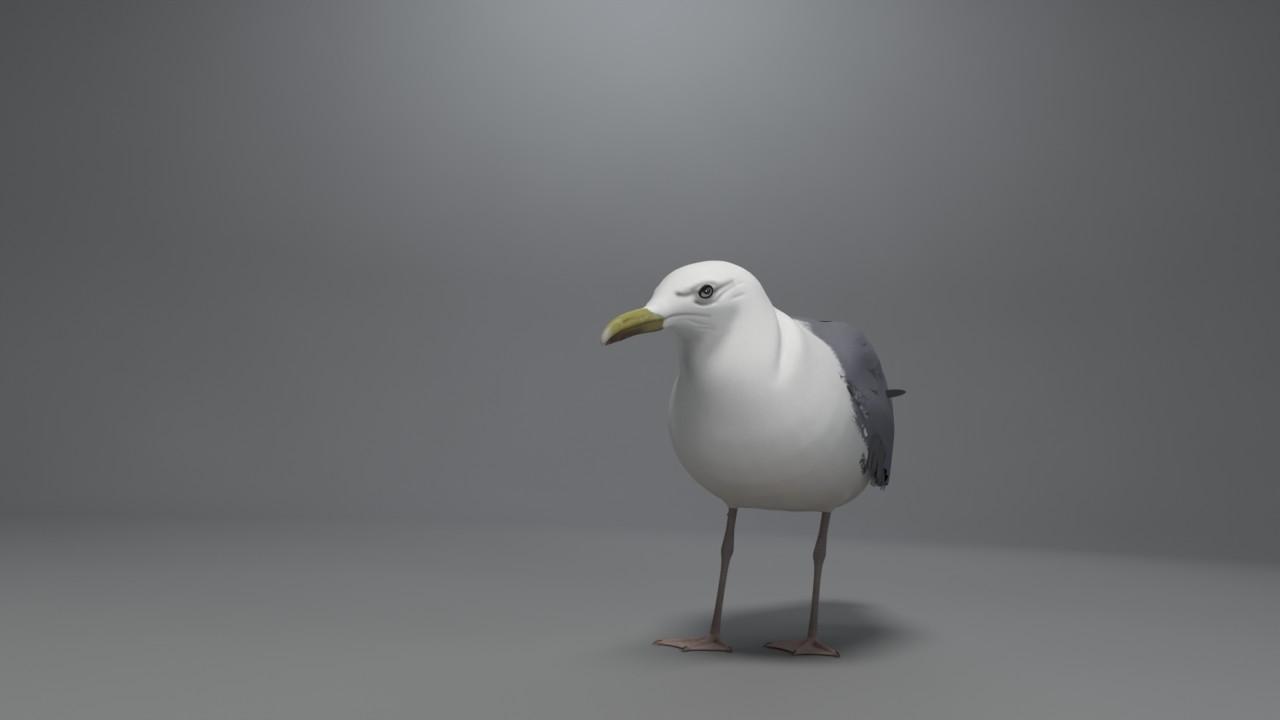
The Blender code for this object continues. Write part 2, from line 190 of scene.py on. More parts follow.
def blend(colours, other, amounts):
    """Colours drawn towards another, each by its own amount."""
    return colours + (np.asarray(other) - colours) * amounts[:, None]


def opaque(colours):
    return np.concatenate([colours, np.ones((*colours.shape[:-1], 1))], -1)


def mesh_object(name, points, faces, finish, marks=None, maps=None, normals=None):
    """A smooth-shaded object. points are in millimetres; faces is a list of arrays, each of faces of one size."""
    mesh = bpy.data.meshes.new(name)
    sizes = np.concatenate([np.full(len(f), f.shape[1]) for f in faces]).astype(np.int32)
    corners = np.concatenate([f.ravel() for f in faces]).astype(np.int32)
    mesh.vertices.add(len(points))
    mesh.vertices.foreach_set("co", (points * MM).astype(np.float32).ravel())
    mesh.loops.add(len(corners))
    mesh.loops.foreach_set("vertex_index", corners)
    mesh.polygons.add(len(sizes))
    mesh.polygons.foreach_set("loop_start", np.concatenate([[0], np.cumsum(sizes)[:-1]]).astype(np.int32))
    mesh.update(calc_edges=True)
    mesh.validate()
    for key, values in (marks or {}).items():
        wide = values.shape[1]
        kind, field = {4: ("FLOAT_COLOR", "color"), 3: ("FLOAT_VECTOR", "vector")}[wide]
        layer = mesh.attributes.new(key, kind, "POINT")
        layer.data.foreach_set(field, values.astype(np.float32).ravel())
    if maps is not None:
        layer = mesh.uv_layers.new(name="OFBake")
        layer.uv.foreach_set("vector", maps[corners].astype(np.float32).ravel())
    mesh.materials.append(finish)
    mesh.shade_smooth()
    if normals is not None:
        mesh.normals_split_custom_set_from_vertices(normals.astype(np.float32))
    made = bpy.data.objects.new(name, mesh)
    bpy.context.scene.collection.objects.link(made)
    return made


def own(piece, slot, *nodes):
    """A piece that moves with the bird and stands for some of its solids. slot is not used."""
    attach(piece, "root")
    if nodes:
        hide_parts(*nodes)
    return piece


def solid_of(nodes, voxel, grow):
    """Points and faces of some solids, grown so that their gaps close and made one closed surface."""
    bm = bmesh.new()
    for node in nodes:
        bm.from_mesh(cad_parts[node].data)
    bmesh.ops.remove_doubles(bm, verts=bm.verts, dist=1e-6)
    bmesh.ops.recalc_face_normals(bm, faces=bm.faces)
    for vertex in bm.verts:
        vertex.co += vertex.normal * grow * MM
    mesh = bpy.data.meshes.new("solid")
    bm.to_mesh(mesh)
    bm.free()
    block = bpy.data.objects.new("solid", mesh)
    bpy.context.scene.collection.objects.link(block)
    step = block.modifiers.new("close", "REMESH")
    step.mode = "VOXEL"
    step.voxel_size = voxel * MM
    graph = bpy.context.evaluated_depsgraph_get()
    made = bpy.data.meshes.new_from_object(block.evaluated_get(graph))
    bpy.data.objects.remove(block)
    points = np.empty(len(made.vertices) * 3, np.float32)
    made.vertices.foreach_get("co", points)
    faces = np.empty(len(made.loops), np.int32)
    made.loops.foreach_get("vertex_index", faces)
    return outer_shell(points.reshape(-1, 3).astype(float) / MM, faces.reshape(-1, 4))


def edges_of(faces):
    pairs = np.concatenate([faces[:, [k, (k + 1) % faces.shape[1]]] for k in range(faces.shape[1])])
    return np.unique(np.sort(pairs, axis=1), axis=0)


def outer_shell(points, faces):
    """Keeps only the largest connected surface, without the closed hollows inside it."""
    edges = edges_of(faces)
    label = np.arange(len(points))
    while True:
        least = np.minimum(label[edges[:, 0]], label[edges[:, 1]])
        before = label.copy()
        np.minimum.at(label, edges[:, 0], least)
        np.minimum.at(label, edges[:, 1], least)
        label = label[label]
        if (label == before).all():
            break
    keep = label == np.bincount(label).argmax()
    index = np.cumsum(keep) - 1
    return points[keep], index[faces[keep[faces[:, 0]]]]


RELAX_SHARE = 0.6


def relax(points, edges, rounds, freedom=1.0):
    """Evens out a surface. freedom is 1 where a point may move freely and 0 where it may not."""
    count = len(points)
    degree = np.bincount(edges.ravel(), minlength=count)[:, None]
    for _ in range(rounds):
        total = np.zeros_like(points)
        for axis in range(3):
            total[:, axis] = np.bincount(edges[:, 0], points[edges[:, 1], axis], count)
            total[:, axis] += np.bincount(edges[:, 1], points[edges[:, 0], axis], count)
        move = total / np.maximum(degree, 1) - points
        points = points + move * (RELAX_SHARE * freedom)
    return points


def normals_of(points, faces):
    a, b, c = points[faces[:, 0]], points[faces[:, 1]], points[faces[:, 2]]
    face = np.cross(b - a, c - a)
    if faces.shape[1] == 4:
        face = face + np.cross(c - a, points[faces[:, 3]] - a)
    normals = np.empty_like(points)
    for axis in range(3):
        normals[:, axis] = sum(
            np.bincount(faces[:, k], face[:, axis], len(points)) for k in range(faces.shape[1])
        )
    return unit(normals)


class Surface:
    """A skin on which feathers are laid."""

    TRIED = 3.2  # places tried for each one that there is room for
    CROWDING = 0.72  # the least gap, as a share of the spacing asked for

    def __init__(self, points, faces):
        if faces.shape[1] == 4:
            faces = np.concatenate([faces[:, [0, 1, 2]], faces[:, [0, 2, 3]]])
        self.points, self.faces = points, faces
        self.normals = normals_of(points, faces)
        self.tree = BVHTree.FromPolygons(points.tolist(), faces.tolist(), all_triangles=True)

    def nearest(self, places):
        """The closest places on the surface, and the smooth normals there."""
        find = self.tree.find_nearest
        hits = [find(place) for place in places.tolist()]
        spots = np.array([hit[0] for hit in hits])
        return spots, self.normal_at(spots, np.array([hit[2] for hit in hits]))

    def normal_at(self, spots, index):
        corners = self.faces[index]
        a, b, c = (self.points[corners[:, k]] for k in range(3))
        u, v, w = b - a, c - a, spots - a
        uu, uv, vv, wu, wv = dot(u, u), dot(u, v), dot(v, v), dot(w, u), dot(w, v)
        scale = np.maximum(uu * vv - uv * uv, 1e-12)
        s = np.clip((vv * wu - uv * wv) / scale, 0, 1)[:, None]
        t = np.clip((uu * wv - uv * wu) / scale, 0, 1)[:, None]
        n = self.normals
        return unit(n[corners[:, 0]] * (1 - s - t) + n[corners[:, 1]] * s + n[corners[:, 2]] * t)

    def scatter(self, spacing, wanted):
        """Evenly spread places, as far apart as spacing says, where wanted is 1."""
        a, b, c = (self.points[self.faces[:, k]] for k in range(3))
        middle = (a + b + c) / 3
        area = np.linalg.norm(np.cross(b - a, c - a), axis=1) / 2
        gaps = spacing(middle)
        weight = area / gaps**2 * wanted(middle)
        count = int(weight.sum() * self.TRIED)
        picked = RNG.choice(len(weight), count, p=weight / weight.sum())
        s, t = RNG.random(count), RNG.random(count)
        fold = s + t > 1
        s[fold], t[fold] = 1 - s[fold], 1 - t[fold]
        places = a[picked] + (b - a)[picked] * s[:, None] + (c - a)[picked] * t[:, None]
        return places[self.thinned(places, gaps[picked])]

    def thinned(self, places, gaps):
        """Drops each place that is too near an earlier one."""
        cell = gaps.max()
        kept, cells = [], {}
        reach = [(i, j, k) for i in (-1, 0, 1) for j in (-1, 0, 1) for k in (-1, 0, 1)]
        keys = np.floor(places / cell).astype(int).tolist()
        limits = ((gaps * self.CROWDING) ** 2).tolist()
        for n, ((x, y, z), (i, j, k), limit) in enumerate(zip(places.tolist(), keys, limits)):
            crowded = any(
                (px - x) ** 2 + (py - y) ** 2 + (pz - z) ** 2 < limit
                for di, dj, dk in reach
                for px, py, pz in cells.get((i + di, j + dj, k + dk), ())
            )
            if not crowded:
                kept.append(n)
                cells.setdefault((i, j, k), []).append((x, y, z))
        return kept


def curve(points, count):
    """A smooth line through some points, as count places."""
    points = np.array(points, float)
    last = len(points) - 1
    at = np.linspace(0, last, count)
    i = np.minimum(at.astype(int), last - 1)
    f = (at - i)[:, None]
    p0, p1, p2, p3 = (points[np.clip(i + k, 0, last)] for k in (-1, 0, 1, 2))
    square, cube = 2 * p0 - 5 * p1 + 4 * p2 - p3, 3 * p1 - p0 - 3 * p2 + p3
    return 0.5 * (2 * p1 + (p2 - p0) * f + square * f**2 + cube * f**3)


def gap_to_line(points, line):
    """How far each point is from a line of straight pieces, and how far along it the nearest place is, 0 to 1."""
    line = np.asarray(line, float)
    best = np.full(len(points), np.inf)
    share = np.zeros(len(points))
    for i, (a, b) in enumerate(zip(line[:-1], line[1:])):
        run = b - a
        t = np.clip((points - a) @ run / (run @ run), 0, 1)
        gap = np.linalg.norm(points - a - t[:, None] * run, axis=1)
        nearer = gap < best
        best[nearer] = gap[nearer]
        share[nearer] = ((i + t) / (len(line) - 1))[nearer]
    return best, share


# ---------------------------------------------------------------- the bird's own frames


def middle_of(node):
    low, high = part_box(node)
    return np.array((low + high) / 2) / MM


SIDES = {"left": 1, "right": -1}
EYE_RADIUS = 7.6
EYE_LIFT = np.array([0.0, 0.0, 1.5])  # the eyes sit this much higher than their solids
EYES = {which: middle_of("eye_" + which) + EYE_LIFT for which in SIDES}
HEAD_PITCH = math.radians(-18)
HEAD_LEFT = unit(EYES["left"] - EYES["right"])
HEAD_LEVEL = np.array([HEAD_LEFT[1], -HEAD_LEFT[0], 0])
HEAD_FORWARD = HEAD_LEVEL * math.cos(HEAD_PITCH) + np.array([0, 0, math.sin(HEAD_PITCH)])
HEAD_UP = np.cross(HEAD_FORWARD, HEAD_LEFT)
HEAD_AXES = np.array([HEAD_FORWARD, HEAD_LEFT, HEAD_UP])
EYE_BACK, EYE_DROP = 0.34, 0.57  # how far the eyes lie behind and below the middle of the head
HEAD_MIDDLE = (EYES["left"] + EYES["right"]) / 2 + HEAD_FORWARD * EYE_BACK + HEAD_UP * EYE_DROP
BODY_MIDDLE_X = 1.9


def in_head(points):
    """Places as distances along the bill, to the head's left, and up from the middle of the head."""
    return (points - HEAD_MIDDLE) @ HEAD_AXES.T


def from_head(places):
    return np.asarray(places, float) @ HEAD_AXES + HEAD_MIDDLE


def on_left(spots):
    """Places of both sides of the head, all brought to its left side."""
    return np.stack([spots[:, 0], np.abs(spots[:, 1]), spots[:, 2]], 1)


def leg_points(which):
    return np.array([v.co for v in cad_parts["leg_" + which].data.vertices]) / MM


SPINE = curve(
    [
        *from_head([(42, 0, -10), (26, 0, -8), (10, 0, -6), (-15, 0, -6)]),
        (-12, -173, 237),
        (0, -128, 200),
        (BODY_MIDDLE_X, -70, 192),
        (BODY_MIDDLE_X, -5, 187),
        (BODY_MIDDLE_X, 86, 174),
        (BODY_MIDDLE_X, 150, 165),
        (BODY_MIDDLE_X, 243, 147),
    ],
    100,
)
SPINE_RUN = unit(np.gradient(SPINE, axis=0))
SPINE_BLUR = 22.0
SPINE_BATCH = 20000  # points looked up at once


def along_spine(points):
    """How far down the bird each point is, from 0 at the bill to 1 at the tail, and the way the body runs there."""
    shares, runs = [], []
    for part in np.array_split(points, max(1, len(points) // SPINE_BATCH)):
        gap = ((part[:, None, :] - SPINE[None]) ** 2).sum(-1)
        weight = np.exp(-(gap - gap.min(1, keepdims=True)) / SPINE_BLUR**2)
        weight /= weight.sum(1, keepdims=True)
        shares.append(weight @ np.linspace(0, 1, len(SPINE)))
        runs.append(weight @ SPINE_RUN)
    return np.concatenate(shares), unit(np.concatenate(runs))


# ---------------------------------------------------------------- markings and painted shade

WHITE = np.array([0.80, 0.805, 0.80])
ASH = np.array([0.192, 0.199, 0.235])
SLATE = np.array([0.035, 0.033, 0.035])
BROWN = np.array([0.09, 0.085, 0.088])
# The colour of the underside's painted shade, with some real staining: darker and warmer towards the bottom.
SHADE_AND_STAIN = np.array([0.80, 0.74, 0.69])

# Height, and how far back the white gives way to grey there.
MANTLE_EDGE = np.array(
    [
        (140.5, 400), (141, 60), (142, 10), (149, -22), (155, -44), (163, -76), (169, -103), (177, -121),
        (195, -126), (210, -127), (225, -119), (233, -112), (243, -113), (250, -100), (256, -89), (300, -86),
    ]
)
RUMP_START, RUMP_HALF = 118.0, 30.0
# The worn bend of the left wing: how far behind the mantle's edge it lies, and its height.
WORN_BEHIND, WORN_HEIGHT = (0, 4, 22, 48), (180, 188, 199, 206)
# Painted shadow under the overhanging scapulars on the bend of the left wing, and a dark patch under its front edge.
SCAPULAR_SHADOW = [(62, -132, 209), (71, -105, 204), (76, -92, 199)]
DARK_PATCH = [(73.5, -80, 152), (71.5, -60, 148), (69, -36, 145)]
PATCH_OUT = 74.5  # how far to the left the lower of them reaches
# Painted shade of the underside, with some real staining: the heights where it starts and is full, and how far back it
# ends.
SHADE_AND_STAIN_TOP, SHADE_AND_STAIN_FULL, SHADE_AND_STAIN_BACK = 168.0, 112.0, 90.0


def behind_edge(points):
    """How far behind the mantle's edge each point is."""
    edge = np.interp(points[:, 2], MANTLE_EDGE[:, 0], MANTLE_EDGE[:, 1])
    return points[:, 1] - edge


def markings_and_shade(points, fleck=0.5):
    """The plumage's colour at each point, with painted shade on the face, under the scapulars and on the underside.
    fleck is a random number for each feather.
    """
    fleck = np.broadcast_to(fleck, len(points))
    height = points[:, 2]
    ragged = 5 + 9 * ramp(height, 190, 175)
    behind = behind_edge(points) + (fleck - 0.5) * ragged
    out = np.abs(points[:, 0] - BODY_MIDDLE_X)
    on_rump = ramp(points[:, 1], RUMP_START - 8, RUMP_START + 8) * ramp(out, RUMP_HALF + 4, RUMP_HALF - 4)
    grey = ramp(behind, -4.5, 4.5) * (1 - on_rump)
    colour = blend(WHITE * (0.985 + 0.03 * fleck)[:, None], ASH * (0.95 + 0.10 * fleck)[:, None], grey)
    left = points[:, 0] > BODY_MIDDLE_X
    pick = fleck * 7.3 % 1  # a second random number for each feather
    worn = band(behind, *WORN_BEHIND) * band(height, *WORN_HEIGHT) * left
    colour = blend(colour, BROWN, worn * (pick < 0.34) * 0.75)
    colour = blend(colour, WHITE * 0.7, worn * (pick > 0.78) * 0.3)
    # Painted shade, with some real staining, darkening the underside towards the bottom.
    shaded_and_stained = ramp(height, SHADE_AND_STAIN_TOP, SHADE_AND_STAIN_FULL) * (points[:, 1] < SHADE_AND_STAIN_BACK)
    colour = colour * (1 - shaded_and_stained[:, None] * (1 - SHADE_AND_STAIN))
    # Painted shadow under the overhanging scapulars.
    slot = ramp(gap_to_line(points, SCAPULAR_SHADOW)[0] + fleck * 2.4, 4.4, 2.4) * left
    colour = blend(colour, SLATE, slot * 0.75 * (pick > 0.3))
    patch = ramp(gap_to_line(points, DARK_PATCH)[0] + fleck * 2.2, 7.0, 4.8) * left * (points[:, 0] < PATCH_OUT)
    colour = blend(colour, SLATE * 0.5, patch * 0.92 * (pick > 0.2))
    return face_shade(points, colour)


# Dark lines on the face, partly dark hair-like feathers and partly painted shade in its folds and under the brow: a
# line in the head's frame, its half width and how much it darkens.
FACE_SHADES = [
    ([(18, 12.6, 1.6), (14, 15.4, 0.2), (8, 18.6, 1.6)], 2.0, 0.80),
    ([(9.7, 19.4, -5.6), (6.2, 21.2, -7.8), (0, 24, -7.8)], 1.5, 0.62),
    ([(-4, 25.1, -1.0), (-13, 27, 1.3), (-22, 28, 2.8)], 1.5, 0.66),
    ([(-3, 25.2, -8), (-10, 27.5, -3.4), (-22, 29, -0.3)], 1.0, 0.36),
    ([(32, 8, -12.4), (24.5, 11, -11.5), (13.5, 15.5, -13.2), (1.5, 20.6, -16.9)], 0.85, 0.58),
    ([(10, 16.5, 3.2), (4, 19, 5.0), (-3, 21.5, 5.0), (-8, 24, 2.8)], 1.1, 0.38),
]
SIDEWAYS = np.array([1, 0, 1])  # leaves out how far to the left a place is
FACE_BACK = -40.0  # behind this the head has no shades and its feathers one colour each
# How much the painted shade darkens a ring round each eye.
EYE_SHADE = 0.72


def face_shade(points, colour):
    """Darkens the lores, the brow, the lines of the face and a ring round each eye, partly dark feathers and partly
    painted shade.
    """
    spots = in_head(points)
    near = np.flatnonzero(spots[:, 0] > FACE_BACK)
    seen = on_left(spots[near]) * SIDEWAYS
    keep = np.ones(len(near))
    # Dark feathers and painted shade along the face's lines.
    for line, half, amount in FACE_SHADES:
        gap, share = gap_to_line(seen, curve(line, 10) * SIDEWAYS)
        keep *= 1 - amount * hump(gap, half) * (1 - 0.5 * share)
    for which in SIDES:
        # Painted shade round each eye, weaker above it.
        places = eye_place(points[near], which)
        close = ramp(opening_share(places), 2.5, 1.35) * (places[:, 0] > 0) * (np.linalg.norm(places, axis=1) < 16)
        keep *= 1 - EYE_SHADE * close * (0.75 - 0.45 * ramp(places[:, 2], 0.5, 3.5))
    colour = colour.copy()
    colour[near] *= keep[:, None]
    return colour


# ---------------------------------------------------------------- skin

BODY_NODES = ["head", "neck", "trunk", "thigh_left", "thigh_right", "wing_left", "wing_right"]
SKIN_VOXEL, SKIN_GROW = 1.9, 0.45
SKIN_ROUNDS, HEAD_ROUNDS, LAST_ROUNDS = 6, 4, 2
HEAD_START, HEAD_FULL = -40.0, -30.0  # where, along the head, it starts to be evened on its own

# Lines on the left side of the face, in the head's frame, with their depth and their half width.
FACE_FOLDS = [
    ([(32, 8, -13.2), (24.5, 11, -11.9), (13.5, 15.5, -13.4), (1.5, 20.6, -16.9)], 1.1, 1.2),
    ([(-4, 24.5, -1.5), (-13, 27, 1.2), (-25, 28.3, 3.2)], 1.1, 2.0),
    ([(-1, 25, -8.5), (-10, 27.5, -3.6), (-19, 28.8, -0.6), (-30, 30, 0.8)], 0.9, 1.3),
    ([(-15, 29.5, -8.4), (-27, 31.5, -7.4)], 0.6, 1.2),
    ([(16, 12.4, -16.4), (6, 14, -21), (-3, 17, -23.4)], 0.6, 1.4),
    ([(5, 10.5, -24.2), (-6, 16, -26.6)], 0.5, 1.4),
    ([(19, 12.8, 1.4), (13, 16, -0.4), (8, 18.8, 0.6)], 1.2, 2.2),
    ([(11, 19, -6), (5, 21.6, -8.8), (-2, 25, -8.2)], 1.1, 1.3),
]
# The same for the swellings of the brow and the cheek, with their height and their half width.
FACE_SWELLS = [
    ([(12, 15.2, 5.2), (4, 18.4, 7.0), (-3, 21.5, 6.9), (-10, 24.8, 4.6)], 1.1, 2.4),
    ([(-4, 26.5, -13), (-16, 30, -14)], 0.9, 6.0),
]

# Height in the head's frame, and how far along the bill the feathers reach there.
BILL_LINE = np.array(
    [
        (-40, 35), (-20.5, 34.5), (-18, 34), (-15, 33), (-13, 32), (-11.5, 34), (-9.6, 37), (-8.4, 40.5),
        (-3, 44), (9, 45),
    ]
)
BARE_SINK = 1.6  # how far the skin lies below the horn of the bill
NECK_FOLD = [(22, -158, 256), (27, -164, 247), (31, -172, 234), (32, -179, 220), (30, -184, 204), (27, -187, 192)]
FOLD_DEPTH, FOLD_HALF = 5.0, 5.5
FOLD_BEHIND = np.array([6.0, 11.0, 0.0])  # from the crease to the swelling behind it
FOLD_SWELL, FOLD_SWELL_HALF = 2.2, 9.0
SLIM, SLIM_HEIGHT, SLIM_HALF = 4.5, 214.0, 18.0
NAPE, NAPE_SWELL, NAPE_HALF = (9.0, -178.0, 271.0), 2.4, 13.0
FACE_SPLIT, EYE_SPLIT = -34.0, 13.0  # how far back, and how far from an eye, the faces are finer


def eye_gaps(points):
    """How far each point is from the middle of the nearer eye."""
    return np.minimum(*(np.linalg.norm(points - EYES[which], axis=1) for which in SIDES))


def past_bill_line(spots):
    """How far in front of the feathers' edge a place in the head's frame lies."""
    return spots[:, 0] - np.interp(spots[:, 2], BILL_LINE[:, 0], BILL_LINE[:, 1])


# Share of the way from the bill to the tail, and the coat's depth there.
COAT_DEPTHS = np.array([(0, 0.20), (0.1, 0.22), (0.22, 0.25), (0.34, 0.30), (0.45, 0.38), (1, 0.45)])


def coat_depth(points):
    """How far the skin lies below the tips of the feathers."""
    share, _ = along_spine(points)
    depth = np.interp(share, COAT_DEPTHS[:, 0], COAT_DEPTHS[:, 1])
    depth *= 0.45 + 0.55 * ramp(eye_gaps(points), 8, 14)
    depth *= 0.4 + 0.6 * ramp(points[:, 2], 100, 122)
    spots = in_head(points)
    bill = ramp(spots[:, 0], 26, 32)
    bare = ramp(past_bill_line(spots), -0.4, 0.6) * bill
    return depth * (1 - bill) + bare * BARE_SINK - 0.25 * bill * (1 - bare)


def split_face(points, faces):
    """Finer faces on the head, and finer again round the eyes."""
    bm = bmesh.new()
    made = [bm.verts.new(p) for p in points.tolist()]
    for face in faces.tolist():
        bm.faces.new([made[i] for i in face])
    for eyes_only in (False, True):
        places = np.array([v.co for v in bm.verts])
        if eyes_only:
            picked = eye_gaps(places) < EYE_SPLIT
        else:
            spots = in_head(places)
            picked = (spots[:, 0] > FACE_SPLIT) & (spots[:, 2] > -40)
        chosen = {v for v, wanted in zip(bm.verts, picked) if wanted}
        edges = [e for e in bm.edges if e.verts[0] in chosen and e.verts[1] in chosen]
        bmesh.ops.subdivide_edges(bm, edges=edges, cuts=1, use_grid_fill=True)
    bmesh.ops.triangulate(bm, faces=bm.faces)
    bm.verts.index_update()
    points = np.array([v.co for v in bm.verts])
    faces = np.array([[v.index for v in f.verts] for f in bm.faces])
    bm.free()
    return points, faces


EYE_AXES = {
    which: unit(HEAD_FORWARD * 0.42 + HEAD_LEFT * side * 0.90 + HEAD_UP * 0.04) for which, side in SIDES.items()
}
EYE_OPENING = (5.1, 3.5)  # half its length and half its height
EYE_SLANT = math.radians(-20)  # the front corner lies lower than the rear one
# The skin's opening and the rim round it, each from where it starts to where it is full, by opening_share.
OPEN_SHARE, RIM_SHARE = (1.22, 1.02), (2.0, 1.2)
OPEN_DEPTH, RIM_LOW, RIM_HIGH = 1.4, 0.5, 1.5


def eye_frame(which):
    """Outward, forward and upward for one eye."""
    out = EYE_AXES[which]
    ahead = unit(HEAD_FORWARD - out * (HEAD_FORWARD @ out))
    return out, ahead, np.cross(ahead, out) * SIDES[which]


def eye_place(points, which):
    """Places round one eye as distances outward, forward and up from its centre, in the eye's own frame."""
    return (points - EYES[which]) @ np.array(eye_frame(which)).T


def opening_share(spots):
    """1 on the edge of the eye's opening, less inside it and more outside. Its ends are drawn out to corners."""
    ahead = (spots[:, 1] * math.cos(EYE_SLANT) + spots[:, 2] * math.sin(EYE_SLANT)) / EYE_OPENING[0]
    above = (spots[:, 2] * math.cos(EYE_SLANT) - spots[:, 1] * math.sin(EYE_SLANT)) / EYE_OPENING[1]
    return (np.abs(ahead) ** 1.7 + np.abs(above) ** 1.9) ** 0.55


def sculpt_face(points, normals):
    """Presses the folds in, raises the brow and cheek, and opens the skin over each eye, with a raised rim."""
    spots = on_left(in_head(points))
    lift = np.zeros(len(points))
    for line, depth, half in FACE_FOLDS:
        gap, share = gap_to_line(spots, curve(line, 12))
        lift -= depth * hump(gap, half) * (0.35 + 0.65 * np.sin(np.pi * (0.08 + 0.84 * share)))
    for line, height, half in FACE_SWELLS:
        gap, _ = gap_to_line(spots, curve(line, 12))
        lift += height * hump(gap, half)
    points = points + normals * lift[:, None]
    for which in SIDES:
        spots = eye_place(points, which)
        share = opening_share(spots)
        radius = np.linalg.norm(spots, axis=1)
        front = (spots[:, 0] > 0) & (radius < 14)
        inside = front * ramp(share, *OPEN_SHARE)
        rim = front * ramp(share, *RIM_SHARE) * (1 - inside)
        goal = radius * (1 - inside - rim) + (EYE_RADIUS - OPEN_DEPTH) * inside
        goal += np.clip(radius, EYE_RADIUS + RIM_LOW, EYE_RADIUS + RIM_HIGH) * rim
        points = EYES[which] + (points - EYES[which]) * (goal / np.maximum(radius, 1e-6))[:, None]
    return points


def skin_shape():
    nodes = BODY_NODES + ["eye_left", "eye_right", "bill_upper", "bill_lower"]
    points, faces = solid_of(nodes, SKIN_VOXEL, SKIN_GROW)
    points = relax(points, edges_of(faces), SKIN_ROUNDS)
    points, faces = split_face(points, faces)
    near_head = ramp(in_head(points)[:, 0], HEAD_START, HEAD_FULL)[:, None]
    points = relax(points, edges_of(faces), HEAD_ROUNDS, near_head)
    points = points - normals_of(points, faces) * (coat_depth(points) + SKIN_GROW)[:, None]
    points = relax(points, edges_of(faces), LAST_ROUNDS)
    points = fold_neck(points, normals_of(points, faces))
    points = slim_shoulder(points)
    swell = NAPE_SWELL * hump(np.linalg.norm(points - NAPE, axis=1), NAPE_HALF)
    points = points + normals_of(points, faces) * swell[:, None]
    points = taper_thighs(points)
    points = sculpt_face(points, normals_of(points, faces))
    return points, faces


def slim_shoulder(points):
    """The left wing's front lies a little flatter than its solid."""
    amount = SLIM * hump(points[:, 2] - SLIM_HEIGHT, SLIM_HALF) * ramp(points[:, 0], 62, 80)
    amount = amount * ramp(points[:, 1], 10, -20)
    return points - amount[:, None] * np.array([1.0, 0, 0])


def fold_neck(points, normals):
    """The crease where the turned neck meets the left shoulder."""
    crease = curve(NECK_FOLD, 20)
    gap, share = gap_to_line(points, crease)
    depth = FOLD_DEPTH * hump(gap, FOLD_HALF) * ramp(share, 1.0, 0.55)
    behind, _ = gap_to_line(points, crease + FOLD_BEHIND)
    swell = FOLD_SWELL * hump(behind, FOLD_SWELL_HALF) * ramp(share, 1.0, 0.4)
    return points + normals * (swell - depth)[:, None]


# The heights where a thigh starts to narrow and ends, and how far from the leg's middle its skin may be.
THIGH_TOP, THIGH_END, THIGH_REACH = 124.0, 107.0, 26.0
SHANK_HALF = 3.0
SHANK_HIGH, SHANK_LOW = 112.0, 92.0  # heights where the leg's middle is looked for


def leg_centre(which, height):
    """The middle of a leg at one height."""
    points = leg_points(which)
    return points[np.abs(points[:, 2] - height) < 3].mean(0)


def taper_thighs(points):
    """Draws the end of each feathered thigh in to the leg."""
    points = points.copy()
    for which in SIDES:
        high, low = leg_centre(which, SHANK_HIGH), leg_centre(which, SHANK_LOW)
        fall = np.clip((high[2] - points[:, 2]) / (high[2] - low[2]), -0.5, 1.2)[:, None]
        axis = high + (low - high) * fall
        away = points - axis
        away[:, 2] = 0
        reach = np.linalg.norm(away, axis=1)
        draw = ramp(points[:, 2], THIGH_TOP, THIGH_END) * (reach < THIGH_REACH)
        goal = reach * (1 - draw) + np.minimum(reach, SHANK_HALF) * draw
        points += away * ((goal / np.maximum(reach, 1e-6)) - 1)[:, None]
    return points


# ---------------------------------------------------------------- the map for baking

# The axis that a side of the box looks along and which way, and the side's cell in the map.
CHART_CELLS = {(0, 1): (0, 0), (0, -1): (0, 1), (2, 1): (1, 0), (2, -1): (1, 1), (1, 1): (2, 0), (1, -1): (2, 1)}
CHART_AXES = {0: (1, 2), 1: (0, 2), 2: (1, 0)}  # which axes run across and up on such a side
CHART_START = {0: -95.0, 1: -285.0, 2: 0.0}
CHART_WIDE, CHART_HIGH = 580.0, 300.0
CHART_COLUMNS, CHART_ROWS = 3, 2
CHART_MARGIN = 0.02
PATCH = 0.003  # the size of each small feather's own patch of the map


def unwrap(points, normals):
    """Each place of the skin, flattened onto the side of a box that it faces most."""
    axis = np.abs(normals).argmax(1)
    sign = np.sign(normals[np.arange(len(points)), axis])
    result = np.zeros((len(points), 2))
    for (k, s), (column, row) in CHART_CELLS.items():
        mine = (axis == k) & (sign == s)
        across, up = CHART_AXES[k]
        u = (points[mine, across] - CHART_START[across]) / CHART_WIDE
        v = (points[mine, up] - CHART_START[up]) / CHART_HIGH
        inside = CHART_MARGIN + np.stack([u, v], 1) * (1 - 2 * CHART_MARGIN)
        result[mine] = ((column, row) + inside) / (CHART_COLUMNS, CHART_ROWS)
    return result


# ---------------------------------------------------------------- small feathers

# The rings of a small feather: how far along it each lies, and its shares of the width and of the coat's depth.
TUFT_AT = np.array([0.0, 0.45, 0.84])
TUFT_WIDTH = np.array([0.6, 1.0, 0.80])
TUFT_RISE = np.array([-0.25, 0.75, 0.80, -0.10])  # the last is the tip's
# How far its middle stands up and its margins dive under the skin: a start, and a share of half its width.
CAMBER, SUNK = (0.015, 0.05), (0.04, 0.02)
NO_TIP = -5.0  # the length of its pale end for a feather that has none
CREASE, CREASE_LENGTH = 0.86, 0.45  # a feather that bends by more than this is grown short


def quill_path(skin, spot, normal, runs, lengths, splay):
    """Where each ring of each feather sits: its place, the skin's normal there and the way the feather runs."""
    at = np.append(TUFT_AT, 1.0)
    run = unit(runs - normal * dot(runs, normal)[:, None])
    steps = [(spot.copy(), normal.copy(), run.copy())]
    for k in range(1, len(at)):
        part = at[k] - at[k - 1]
        run = unit(run + np.cross(normal, run) * (splay * part)[:, None])
        spot, normal = skin.nearest(spot + run * (lengths * part)[:, None])
        run = unit(run - normal * dot(run, normal)[:, None])
        steps.append((spot.copy(), normal.copy(), run.copy()))
    return steps


